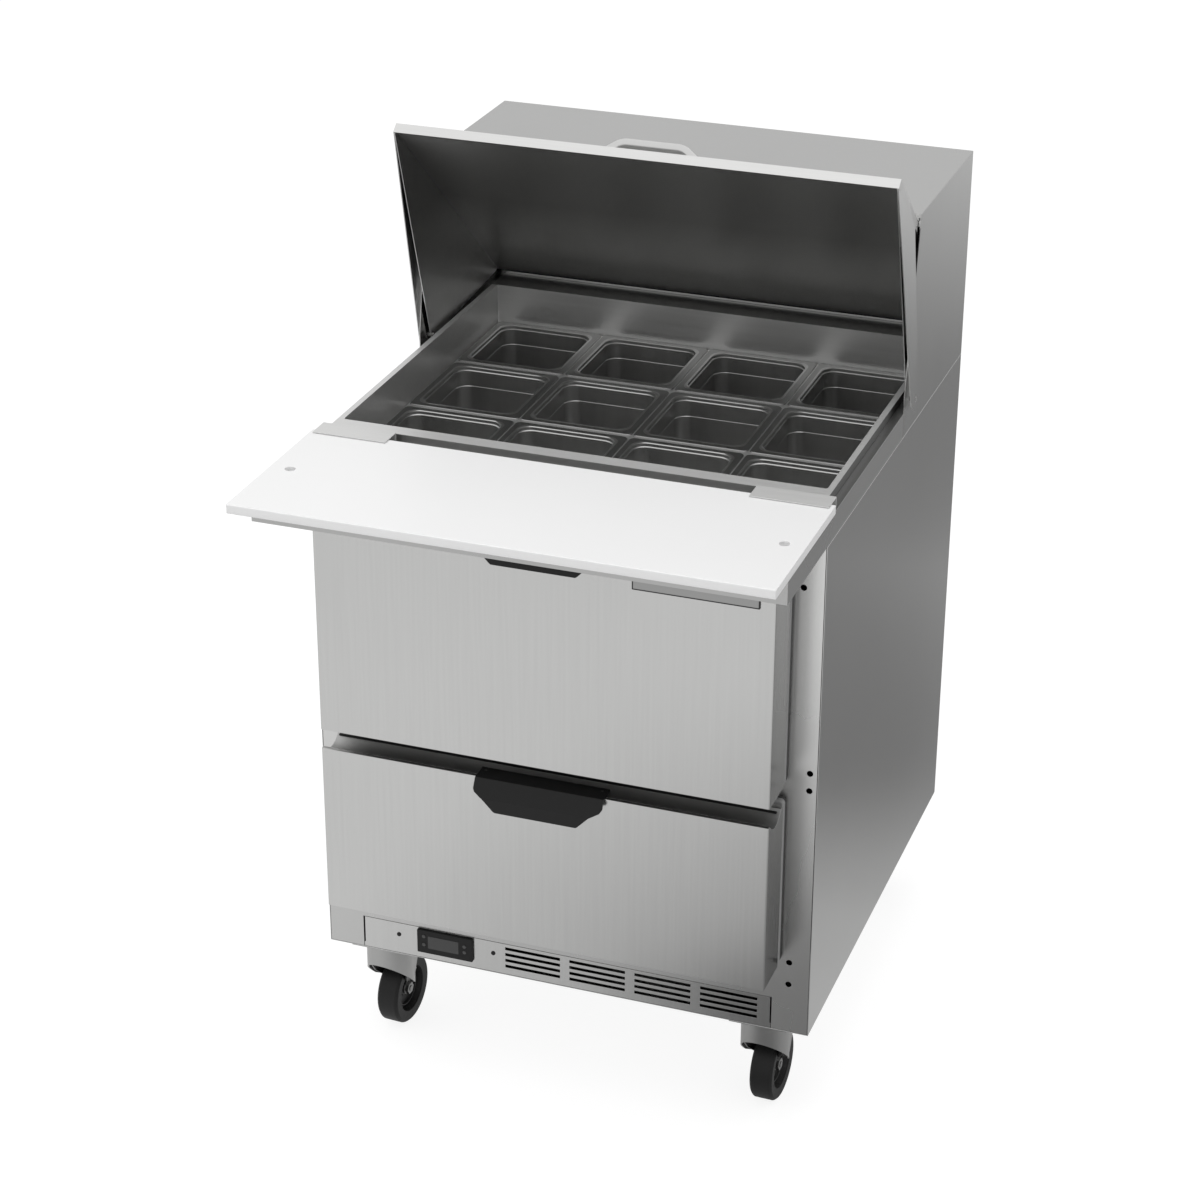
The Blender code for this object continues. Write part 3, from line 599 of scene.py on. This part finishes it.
hood = {"halfWidth": 0.343, "edge": 0.0008, "thickness": 0.0012, "ease": 0.0004,
        "side": ((0.3603, 0.7093), (0.3603, 0.7650), (0.3990, 0.9850), (0.3990, 1.0040),
                 (0.6880, 1.0040), (0.6880, 0.7093)),
        "flange": ((-0.3426, 0.3978, 0.9955), (0.3426, 0.3992, 1.0038)),
        "tab": ((0.3404, 0.3978, 0.9877), (0.3428, 0.3992, 1.0)),
        "ledge": ((-0.3360, 0.6524, 0.7446), (0.3360, 0.6875, 0.7600)),
        "open": (0.9, 0.5), "dull": 0.7, "sideways": 0.9}


def hoodFinish(normal, middle):
    # painted shade on the hood's side faces
    if normal.x > hood["sideways"]:
        return "hoodSideShaded"
    return "bracket" if normal.y < -hood["dull"] and middle.z > hood["tab"][0][2] else "stainless"


def buildHood():
    bm = bmesh.new()
    profileAlongX(bm, hood["side"], -hood["halfWidth"], hood["halfWidth"])
    below, before = hood["open"]
    gone = [f for f in bm.faces if f.normal.z < -below or f.normal.y < -before]
    bmesh.ops.delete(bm, geom=gone, context="FACES")
    roundOff(bm, hood["edge"], 3)
    bmesh.ops.solidify(bm, geom=list(bm.faces), thickness=hood["thickness"])
    low, high = hood["tab"]
    leftTab = ((-high[0], low[1], low[2]), (-low[0], high[1], high[2]))
    for start, end in (hood["flange"], hood["ledge"], leftTab, hood["tab"]):
        easedBox(bm, start, end, hood["ease"])
    finish = ("stainless", "bracket", "hoodSideShaded")
    dressFaces(bm, finish, hoodFinish)
    seat(bm)
    finishPiece("hoodShell", bm, finish, "cabinet", ["hood"])


drawerFace = {"halfWidth": 0.3045, "front": -0.083, "back": -0.0212, "bend": 0.0020, "edge": 0.0007,
              "troughFront": -0.0772, "troughBack": -0.0288, "troughCentre": (-0.053, 0.016),
              "troughTurn": 113.0, "troughRim": 0.0004, "troughLean": 0.3, "steps": 18, "sideways": 0.7}
drawerHeights = {"upper": (0.380, 0.7045), "lower": (0.113, 0.353)}
# painted shade: a dark strip along the trough's rear wall, where it lies in shade
shadeStrip = {"left": 0.003, "right": 0.0045, "front": -0.0352, "back": -0.0305, "low": -0.0056,
        "high": -0.0036, "edge": 0.0006}


def buildDrawerFace(level):
    low, high = drawerHeights[level]
    half = drawerFace["halfWidth"]
    front, back = drawerFace["front"], drawerFace["back"]

    def drawerFinish(normal, middle):
        # painted shade: the side faces and the trough's upward faces take darker copies of the stainless
        if abs(normal.x) > drawerFace["sideways"]:
            return "drawerSideShade"
        inTrough = (drawerFace["troughFront"] < middle.y < drawerFace["troughBack"]
                    and middle.z < high - drawerFace["troughRim"])
        return "trough" if inTrough and normal.z > drawerFace["troughLean"] else "stainless"

    bm = bmesh.new()
    start = bm.verts.new((-half, drawerFace["troughFront"], high))
    y, z = drawerFace["troughCentre"]
    arc = bmesh.ops.spin(bm, geom=[start], cent=(-half, y, high + z), axis=(1, 0, 0),
                         steps=drawerFace["steps"], angle=radians(drawerFace["troughTurn"]))["geom_last"]
    end = [v for v in arc if isinstance(v, bmesh.types.BMVert)][0]
    spots = ((back, high), (back, low), (front, low), (front, high))
    ring = [end] + [bm.verts.new((-half, a, b)) for a, b in spots] + [start]
    for pair in zip(ring, ring[1:]):
        bm.edges.new(pair)
    face = bmesh.ops.contextual_create(bm, geom=list(bm.edges))["faces"]
    pushOut(bm, face, (2 * half, 0, 0))
    upright = [e for e in bm.edges if all(abs(v.co.y - front) < meshing["same"] for v in e.verts)
               and abs(e.verts[0].co.x - e.verts[1].co.x) < meshing["same"]]
    roundOff(bm, drawerFace["bend"], 4, edges=upright)
    roundOff(bm, drawerFace["edge"])
    finish = ("stainless", "trough", "drawerSideShade")
    dressFaces(bm, finish, drawerFinish)
    seat(bm)
    body = "drawer_" + level
    finishPiece("drawerFace" + level.title(), bm, finish, body, ["drawer_front_" + level])
    # the dark strip of painted shade along the trough's rear wall
    bm = bmesh.new()
    addBox(bm, (-half + shadeStrip["left"], shadeStrip["front"], high + shadeStrip["low"]),
           (half - shadeStrip["right"], shadeStrip["back"], high + shadeStrip["high"]))
    roundOff(bm, shadeStrip["edge"])
    seat(bm)
    finishPiece("troughShadeStrip" + level.title(), bm, "gripPlastic", body)


grip = {"rise": 0.0020, "strip": 0.0036, "edge": 0.0006, "edgeAngle": 25, "foldFrom": -0.3085,
        "foldOut": 0.0805, "foldShift": (0, -0.0045, -0.0008)}
gripScrew = {"out": 0.0795, "place": -0.0675, "radius": 0.0021, "height": 0.0012, "edge": 0.0004,
             "sections": 20}


def buildGrip(level):
    node = "drawer_handle_" + level
    body = "drawer_" + level
    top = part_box(node)[1][2]
    bm = copyOfNode(node)
    strip = [v for v in bm.verts if v.co.z > top - grip["strip"]]
    bmesh.ops.translate(bm, vec=(0, 0, grip["rise"]), verts=strip)
    fold = [v for v in strip if v.co.y < grip["foldFrom"] and abs(v.co.x) > grip["foldOut"]]
    bmesh.ops.translate(bm, vec=grip["foldShift"], verts=fold)
    roundOff(bm, grip["edge"], 3, above=grip["edgeAngle"])
    finishPiece("grip" + level.title(), bm, "gripPlastic", body, [node])
    bm = bmesh.new()
    for side in sides.values():
        place = (side * gripScrew["out"], gripScrew["place"] + shift.y, top + grip["rise"])
        easedRod(bm, place, "Z", gripScrew["radius"], gripScrew["height"], gripScrew["sections"],
                 gripScrew["edge"])
    finishPiece("gripScrews" + level.title(), bm, "hub", body)


# each ring: how far in from the flange's edge, height over the flange's top, corner radius
pan = {"pitch": 0.1605, "columns": 4, "width": 0.159, "depth": 0.1655, "top": 0.7018, "steps": 6,
       "rows": {"front": 0.0915, "middle": 0.2635, "rear": 0.4355},
       "sheet": 0.0007, "flange": 0.0087, "flangeDrop": 0.0031,
       "rings": ((0.0006, -0.0030, 0.0070), (0.0004, -0.0008, 0.0070), (0.0012, 0.0, 0.0066),
                 (0.0084, -0.0001, 0.0150), (0.0094, 0.0005, 0.0165), (0.0106, 0.0006, 0.0180),
                 (0.0116, -0.0004, 0.0190), (0.0118, -0.0042, 0.0190), (0.0128, -0.0054, 0.0190),
                 (0.0134, -0.0270, 0.0188), (0.0140, -0.0279, 0.0186), (0.0166, -0.0890, 0.0190),
                 (0.0178, -0.0950, 0.0195), (0.0215, -0.0982, 0.0200), (0.0300, -0.0990, 0.0200))}


def buildPan(row, column):
    x = (column - (pan["columns"] - 1) / 2) * pan["pitch"]
    y = pan["rows"][row]
    half = pan["width"] / 2

    def panFinish(normal, middle):
        # painted shade: the flange takes a darker copy of the pan steel
        inset = min(half - abs(middle.x - x), pan["depth"] / 2 - abs(middle.y - y - pan["depth"] / 2))
        onFlange = inset < pan["flange"] and middle.z > pan["top"] - pan["flangeDrop"]
        return "panFlange" if onFlange else "pan"

    rings = []
    for inset, rise, radius in pan["rings"]:
        low = (x - half + inset, y + inset)
        high = (x + half - inset, y + pan["depth"] - inset)
        rings.append((low, high, radius, lambda a, b, z=pan["top"] + rise: (a, b, z)))
    bm = bmesh.new()
    loft(bm, rings, pan["steps"])
    bmesh.ops.solidify(bm, geom=list(bm.faces), thickness=pan["sheet"])
    dressFaces(bm, ("pan", "panFlange"), panFinish)
    seat(bm)
    body = "pan_%s_%d" % (row, column + 1)
    finishPiece("pan%s%d" % (row.title(), column + 1), bm, ("pan", "panFlange"), body, [body])


board = {"wider": 0.0042, "ends": 0.332, "edge": 0.006}


def buildBoard():
    bm = copyOfNode("cutting_board")
    for side in sides.values():
        end = [v for v in bm.verts if side * v.co.x > board["ends"]]
        bmesh.ops.translate(bm, vec=(side * board["wider"], 0, 0), verts=end)
    near = min(v.co.y for v in bm.verts) + board["edge"]

    def boardFinish(normal, middle):
        # painted highlight: the outer edges take a lighter copy of the board's plastic
        outer = abs(middle.x) > board["ends"] or middle.y < near
        return "boardEdgeLit" if outer and normal.z < facing else "board"

    dressFaces(bm, ("board", "boardEdgeLit"), boardFinish)
    finishPiece("boardSlab", bm, ("board", "boardEdgeLit"), "board", ["cutting_board"])


# each ring: how far in from the drawer front's edge, depth behind the stile face, corner radius
gasket = {"halfWidth": 0.3034, "heights": {"upper": (0.377, 0.701), "lower": (0.110, 0.356)},
          "shadeFrom": -0.0080, "steps": 4,
          "rings": ((0.0012, -0.0006, 0.006), (0.0000, -0.0020, 0.006), (0.0000, -0.0060, 0.006),
                    (0.0008, -0.0068, 0.006), (0.0008, -0.0078, 0.006), (0.0000, -0.0086, 0.006),
                    (0.0000, -0.0142, 0.006), (0.0012, -0.0154, 0.006), (0.0060, -0.0156, 0.004),
                    (0.0060, -0.0206, 0.004), (0.0100, -0.0206, 0.003), (0.0100, -0.0110, 0.003),
                    (0.0088, -0.0085, 0.003), (0.0100, -0.0060, 0.003), (0.0100, -0.0006, 0.003))}


def gasketFinish(normal, middle):
    # painted shade: the gasket's front part, next to the drawer, is near black
    return "gasketShade" if middle.y > gasket["shadeFrom"] else "rubber"


def buildGasket(level):
    low, high = gasket["heights"][level]
    half = gasket["halfWidth"]
    rings = []
    for inset, y, radius in gasket["rings"]:
        rings.append(((-half + inset, low + inset), (half - inset, high - inset), radius,
                      lambda a, b, y=y: (a, y, b)))
    bm = bmesh.new()
    loft(bm, rings, gasket["steps"], capped=False)
    dressFaces(bm, ("rubber", "gasketShade"), gasketFinish)
    seat(bm)
    finishPiece("gasket" + level.title(), bm, ("rubber", "gasketShade"), "drawer_" + level,
                ["drawer_gasket_" + level])


controller = {"low": (-0.2110, 0.0120), "high": (-0.1300, 0.0480), "front": -0.0042, "corner": 0.0012,
              "cornerSteps": 5, "depth": 0.0040, "edge": 0.0007,
              "body": ((-0.2055, -0.0020, 0.0165), (-0.1355, 0.0400, 0.0435)), "bodyEdge": 0.001}
screen = {"low": (-0.1950, 0.0205), "high": (-0.1500, 0.0400), "out": 0.0004, "corner": 0.0012,
          "cornerSteps": 4, "depth": 0.0010, "edge": 0.0002}
keys = {"places": ((-0.2010, 0.0385), (-0.2010, 0.0255), (-0.1415, 0.0345), (-0.1415, 0.0255)),
        "out": 0.0001, "radius": 0.0026, "depth": 0.0012, "sections": 24, "edge": 0.0004}


def buildController():
    front = controller["front"]
    bm = bmesh.new()
    addPlate(bm, controller["low"], controller["high"], controller["corner"], controller["cornerSteps"],
             front, controller["depth"], controller["edge"], 3)
    low, high = controller["body"]
    easedBox(bm, low, high, controller["bodyEdge"])
    seat(bm)
    finishPiece("controllerCase", bm, "gripPlastic", "cabinet", ["controller"])
    bm = bmesh.new()
    addPlate(bm, screen["low"], screen["high"], screen["corner"], screen["cornerSteps"],
             front - screen["out"], screen["depth"], screen["edge"])
    seat(bm)
    finishPiece("controllerScreen", bm, "screen", "cabinet")
    bm = bmesh.new()
    for x, z in keys["places"]:
        easedRod(bm, (x, front - keys["out"], z), "Y", keys["radius"], keys["depth"], keys["sections"],
                 keys["edge"])
    seat(bm)
    finishPiece("controllerKeys", bm, "keys", "cabinet")


panelScrew = {"places": (-0.2395, -0.1010), "height": 0.0310, "radius": 0.0031, "depth": 0.0016,
              "sections": 24, "edge": 0.0005}


def buildPanelScrews():
    bm = bmesh.new()
    for x in panelScrew["places"]:
        easedRod(bm, (x, 0.0, panelScrew["height"]), "Y", panelScrew["radius"], panelScrew["depth"],
                 panelScrew["sections"], panelScrew["edge"])
    seat(bm)
    finishPiece("panelScrews", bm, "gripPlastic", "cabinet")


# the badge's place is a blank plate with a dark border
badge = {"low": (0.122, 0.654), "high": (0.285, 0.680), "edge": 0.0002, "cornerSteps": 3,
         "border": {"inset": 0.0, "corner": 0.0010, "front": -0.0848, "depth": 0.0014},
         "plate": {"inset": 0.0017, "corner": 0.0006, "front": -0.0850, "depth": 0.0010}}


def addBadge(layer):
    bm = bmesh.new()
    inset = badge[layer]["inset"]
    low = [place + inset for place in badge["low"]]
    high = [place - inset for place in badge["high"]]
    addPlate(bm, low, high, badge[layer]["corner"], badge["cornerSteps"], badge[layer]["front"],
             badge[layer]["depth"], badge["edge"])
    seat(bm)
    return bm


def buildBadge():
    finishPiece("badgeBorder", addBadge("border"), "paint", "drawer_upper")
    finishPiece("badgePlate", addBadge("plate"), "badge", "drawer_upper", ["badge_plate"])


# out from the middle, radius, length
pivot = {"shank": (0.3400, 0.0034, 0.0080), "head": (0.3448, 0.0040, 0.0024), "headEdge": 0.0011,
         "sections": 32}


def buildPivots():
    for name, side in sides.items():
        node = "pivot_pin_" + name
        low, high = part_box(node)
        y, z = (Vector(low) / 2 + Vector(high) / 2).yz
        bm = bmesh.new()
        out, radius, length = pivot["shank"]
        addRod(bm, (side * out, y, z), "X", radius, length, pivot["sections"])
        out, radius, length = pivot["head"]
        easedRod(bm, (side * out, y, z), "X", radius, length, pivot["sections"], pivot["headEdge"], 3)
        finishPiece("pivotPin" + name.title(), bm, "zinc", "cabinet", [node])


# the bow is drawn flat at the origin, then laid on the open lid's skin
bow = {"feet": 0.0735, "sole": 0.008, "shoulders": 0.0405, "height": 0.0192, "bar": 0.0100, "width": 0.013,
       "bend": 0.012, "edge": 0.0024, "up": 0.041, "pivot": (0, 0.396, 0.752), "open": 69.5,
       "nose": (-0.3448, 0.0209), "tail": (0.0673, 0.2460)}


def lidSkin():
    nose, tail = Vector(bow["nose"]), Vector(bow["tail"])
    along = (tail - nose).normalized()
    flat = Matrix(((1, 0, 0, 0), (0, along.x, -along.y, nose.x), (0, along.y, along.x, nose.y),
                   (0, 0, 0, 1)))
    return Matrix.Translation(bow["pivot"]) @ Matrix.Rotation(-radians(bow["open"]), 4, "X") @ flat


def buildBow():
    bm = bmesh.new()
    half = ((-bow["feet"], 0.0), (-bow["feet"] + bow["sole"], 0.0), (-bow["shoulders"], bow["height"]))
    points = half + tuple((-x, z) for x, z in reversed(half))
    verts = [bm.verts.new((x, 0, z)) for x, z in points]
    for pair in zip(verts, verts[1:]):
        bm.edges.new(pair)
    bmesh.ops.bevel(bm, geom=verts[1:-1], offset=bow["bend"] / 2, offset_type="OFFSET", affect="VERTICES",
                    segments=6, profile=0.5, clamp_overlap=True, material=-1)
    made = bmesh.ops.extrude_edge_only(bm, edges=list(bm.edges))["geom"]
    ribbon = [v for v in made if isinstance(v, bmesh.types.BMVert)]
    bmesh.ops.translate(bm, vec=(0, bow["width"], 0), verts=ribbon)
    bmesh.ops.translate(bm, vec=(0, bow["up"] - bow["width"] / 2, 0), verts=bm.verts)
    for face in bm.faces:
        if face.normal.z > 0:
            face.normal_flip()
    bmesh.ops.solidify(bm, geom=list(bm.faces), thickness=bow["bar"])
    roundOff(bm, bow["edge"], 3)
    bmesh.ops.transform(bm, matrix=lidSkin(), verts=bm.verts)
    seat(bm)
    finishPiece("lidBow", bm, "bow", "lid", ["lid_handle"])


# drawn round the swivel's axis, down from the cabinet's underside, then set at its spot (place and turn)
caster = {"trail": 0.032, "axle": -0.107,
          "spots": {"front_left": (-0.2727, 0.044, -4.0), "front_right": (0.2727, 0.044, -2.0),
                    "rear_left": (-0.265, 0.604, 0.0), "rear_right": (0.265, 0.604, 0.0)},
          "plateEdge": 0.0006}
cup = {"radius": 0.033, "top": -0.0046, "deep": 0.084, "sheet": 0.0020, "edge": 0.0020, "seatHole": 0.70,
       "sections": 64,
       "cuts": (((0, -0.033, -0.036), (0, -1, -1)), ((0, 0.0084, -0.0776), (0, -0.58, -1))),
       "mouth": 0.0195, "mouthTop": -0.0262}
leg = {"inside": 0.0052, "outside": 0.0077, "knee": -0.100, "top": -0.0540, "gap": 0.0014, "edge": 0.0005,
       "outline": ((-0.0060, -0.0540), (-0.0020, -0.0672), (0.0230, -0.0925), (0.0240, -0.1010),
                   (0.0402, -0.1010), (0.0400, -0.0880), (0.0310, -0.0690), (0.0100, -0.0535))}
gusset = {"inside": 0.0305, "outside": 0.0326,
          "outline": ((0.0040, -0.0048), (0.0330, -0.0048), (0.0080, -0.0660), (0.0040, -0.0660))}
# washer, nut and bolt end: from, to, radius, sections, edge
axle = {"stack": ((0.0052, 0.0077, 0.0095, 32, 0.0005), (0.0075, 0.0130, 0.0092, 6, 0.0008),
                  (0.0070, 0.0142, 0.0042, 20, 0.0006)),
        "radius": 0.0050, "length": 0.0140, "sections": 20, "nutFrom": 0.0078, "nutReach": 0.0100}


def addCup(bm):
    deep = cup["deep"]
    made = bmesh.ops.create_cone(bm, cap_ends=False, segments=cup["sections"], radius1=cup["radius"],
                                 radius2=cup["radius"], depth=deep)["verts"]
    bmesh.ops.translate(bm, vec=(0, 0, cup["top"] - deep / 2), verts=made)
    for place, way in cup["cuts"]:
        scoreAt(bm, place, way, cut=True)
    for place, way in (((cup["mouth"], 0, 0), (1, 0, 0)), ((-cup["mouth"], 0, 0), (1, 0, 0)),
                       ((0, 0, cup["mouthTop"]), (0, 0, 1))):
        scoreAt(bm, place, way)
    gone = []
    for face in bm.faces:
        middle = face.calc_center_median()
        if abs(middle.x) < cup["mouth"] and middle.y > 0 and middle.z < cup["mouthTop"]:
            gone.append(face)
    bmesh.ops.delete(bm, geom=gone, context="FACES")
    height = cup["top"] - meshing["same"]
    top = [e for e in bm.edges if e.is_boundary and all(v.co.z > height for v in e.verts)]
    made = bmesh.ops.extrude_edge_only(bm, edges=top)["geom"]
    bmesh.ops.scale(bm, vec=(cup["seatHole"], cup["seatHole"], 1),
                    verts=[v for v in made if isinstance(v, bmesh.types.BMVert)])
    bmesh.ops.recalc_face_normals(bm, faces=bm.faces)
    roundOff(bm, cup["edge"], 3)
    bmesh.ops.solidify(bm, geom=list(bm.faces), thickness=cup["sheet"])


def addLeg(bm, side):
    # the leg leans out from the knee to the cup's wall
    lean = (cup["radius"] - leg["gap"] - leg["outside"]) / (leg["top"] - leg["knee"])
    slope = Matrix(((1, 0, side * lean, -side * lean * leg["knee"]), (0, 1, 0, 0), (0, 0, 1, 0),
                    (0, 0, 0, 1)))
    known = set(bm.verts)
    profileAlongX(bm, leg["outline"], side * leg["inside"], side * leg["outside"])
    made = [v for v in bm.verts if v not in known]
    bmesh.ops.transform(bm, matrix=slope, verts=made)
    roundOff(bm, leg["edge"], edges=sharpEdges(bm, verts=made))
    for face in bm.faces:
        if not known.intersection(face.verts):
            face.material_index = 1
    known = set(bm.verts)
    profileAlongX(bm, gusset["outline"], side * gusset["inside"], side * gusset["outside"])
    made = [v for v in bm.verts if v not in known]
    roundOff(bm, leg["edge"], edges=sharpEdges(bm, verts=made))


def buildFork(corner, place):
    bm = bmesh.new()
    addCup(bm)
    for side in sides.values():
        addLeg(bm, side)
        for low, high, radius, sections, edge in axle["stack"]:
            centre = (side * (low + high) / 2, caster["trail"], caster["axle"])
            easedRod(bm, centre, "X", radius, high - low, sections, edge)
    addRod(bm, (0, caster["trail"], caster["axle"]), "X", axle["radius"], axle["length"], axle["sections"])
    for face in bm.faces:
        middle = face.calc_center_median()
        far = Vector((middle.y - caster["trail"], middle.z - caster["axle"])).length
        if abs(middle.x) > axle["nutFrom"] and far < axle["nutReach"]:
            face.material_index = 1
    bmesh.ops.transform(bm, matrix=place, verts=bm.verts)
    seat(bm)
    finishPiece("casterFork" + corner.title().replace("_", ""), bm, ("zinc", "nut"), "caster_" + corner,
                ["caster_fork_" + corner])


# half of each (radius, along) profile, which is then mirrored
wheel = {"steps": 64, "edgeAngle": 20, "treadEdge": 0.0012, "coreEdge": 0.0006,
         "tread": ((0.0328, -0.0150), (0.0465, -0.0160), (0.0500, -0.0125)),
         "core": ((0.0062, -0.0047), (0.0120, -0.0047), (0.0130, -0.0030), (0.0240, -0.0030),
                  (0.0248, -0.0080), (0.0264, -0.0080), (0.0272, -0.0030), (0.0312, -0.0030),
                  (0.0330, -0.0146))}


def wheelPart(part, place):
    bm = bmesh.new()
    profile = wheel[part] + tuple((r, -h) for r, h in reversed(wheel[part]))
    turned(bm, profile, (0, caster["trail"], caster["axle"]), wheel["steps"])
    roundOff(bm, wheel[part + "Edge"], 3, above=wheel["edgeAngle"])
    bmesh.ops.transform(bm, matrix=place, verts=bm.verts)
    seat(bm)
    return bm


def buildCaster(corner):
    x, y, turn = caster["spots"][corner]
    place = Matrix.Translation((x, y, 0)) @ Matrix.Rotation(radians(turn), 4, "Z")
    label = corner.title().replace("_", "")
    buildFork(corner, place)
    finishPiece("wheelTread" + label, wheelPart("tread", place), "tread", "wheel_" + corner,
                ["caster_wheel_" + corner])
    finishPiece("wheelCore" + label, wheelPart("core", place), "hub", "wheel_" + corner)
    bm = copyOfNode("caster_plate_" + corner)
    roundOff(bm, caster["plateEdge"])
    finishPiece("casterPlate" + label, bm, "zinc", "cabinet", ["caster_plate_" + corner])


# the can's profile is (radius, height) from the middle of its underside
compressor = {"centre": (-0.19, 0.575, 0.020), "steps": 48, "merge": 0.00005, "edge": 0.004,
              "edgeAngle": 22,
              "can": ((0.0, 0.006), (0.060, 0.006), (0.074, 0.020), (0.0757, 0.050), (0.0757, 0.084),
                      (0.0785, 0.085), (0.0785, 0.089), (0.0757, 0.090), (0.0757, 0.112), (0.070, 0.140),
                      (0.045, 0.158), (0.0, 0.165)),
              "plate": ((-0.275, 0.500, 0.0016), (-0.105, 0.650, 0.0046)), "plateEdge": 0.001,
              "feet": ((-0.262, 0.513), (-0.262, 0.637), (-0.118, 0.513), (-0.118, 0.637)),
              "footHeight": 0.0125, "footRadius": 0.010, "footLength": 0.018, "footSections": 24,
              "footEdge": 0.002,
              "box": ((-0.222, 0.494, 0.060), (-0.158, 0.512, 0.118)), "boxEdge": 0.003}


def buildCompressor():
    # welded can with a domed top, its mounting plate on four feet and the terminal box
    bm = bmesh.new()
    centre = Vector(compressor["centre"])
    verts = [bm.verts.new(Vector((r, 0, h)) + centre) for r, h in compressor["can"]]
    edges = [bm.edges.new(pair) for pair in zip(verts, verts[1:])]
    bmesh.ops.spin(bm, geom=verts + edges, cent=centre, axis=(0, 0, 1), angle=2 * pi,
                   steps=compressor["steps"], use_merge=True)
    bmesh.ops.remove_doubles(bm, verts=bm.verts, dist=compressor["merge"])
    roundOff(bm, compressor["edge"], 3, above=compressor["edgeAngle"])
    low, high = compressor["plate"]
    easedBox(bm, low, high, compressor["plateEdge"])
    for x, y in compressor["feet"]:
        easedRod(bm, (x, y, compressor["footHeight"]), "Z", compressor["footRadius"],
                 compressor["footLength"], compressor["footSections"], compressor["footEdge"])
    low, high = compressor["box"]
    easedBox(bm, low, high, compressor["boxEdge"], 3)
    bmesh.ops.recalc_face_normals(bm, faces=bm.faces)
    seat(bm)
    finishPiece("compressorCan", bm, "paint", "cabinet", ["compressor"])


# node, low corner, high corner, number of fins, rows of tube
coils = {"condenserCoil": ("condenser_coil", (0.020, 0.460, 0.003), (0.300, 0.510, 0.230), 56, 7),
         "evaporatorCoil": ("evaporator_coil", (-0.200, 0.585, 0.300), (0.200, 0.640, 0.440), 64, 5)}
coil = {"ends": 0.006, "halfFin": 0.0004, "finInset": (0.002, 0.003), "sheet": 0.0015, "sheetEdge": 0.0004,
        "tubeInset": 0.014, "tubeRadius": 0.0045, "tubeOut": 0.006, "tubeSections": 20}


def buildCoil(name):
    node, low, high, count, rows = coils[name]
    bm = bmesh.new()
    pitch = (high[0] - low[0] - 2 * coil["ends"]) / count
    deep, tall = coil["finInset"]
    for k in range(count):
        x = low[0] + coil["ends"] + (k + 0.5) * pitch
        addBox(bm, (x - coil["halfFin"], low[1] + deep, low[2] + tall),
               (x + coil["halfFin"], high[1] - deep, high[2] - tall))
    for x in (low[0], high[0] - coil["sheet"]):
        easedBox(bm, (x, low[1], low[2]), (x + coil["sheet"], high[1], high[2]), coil["sheetEdge"])
    for row in range(rows):
        z = low[2] + (row + 0.5) * (high[2] - low[2]) / rows
        for y in (low[1] + coil["tubeInset"], high[1] - coil["tubeInset"]):
            addRod(bm, ((low[0] + high[0]) / 2, y, z), "X", coil["tubeRadius"],
                   high[0] - low[0] + coil["tubeOut"], coil["tubeSections"])
    seat(bm)
    finishPiece(name, bm, "fins", "cabinet", [node])


setCamera()
buildStudio()
paintNodes()
print("studio and finishes ready")
buildSheets()
buildHood()
print("cabinet sheets ready")
for level in drawerHeights:
    buildDrawerFace(level)
    buildGrip(level)
for level in drawerHeights:
    buildGasket(level)
print("drawers ready")
for row in pan["rows"]:
    for column in range(pan["columns"]):
        buildPan(row, column)
buildBoard()
print("well and board ready")
buildController()
buildPanelScrews()
buildBadge()
buildPivots()
buildBow()
for corner in caster["spots"]:
    buildCaster(corner)
print("fixings and casters ready")
buildCompressor()
for name in coils:
    buildCoil(name)
print("machine ready")
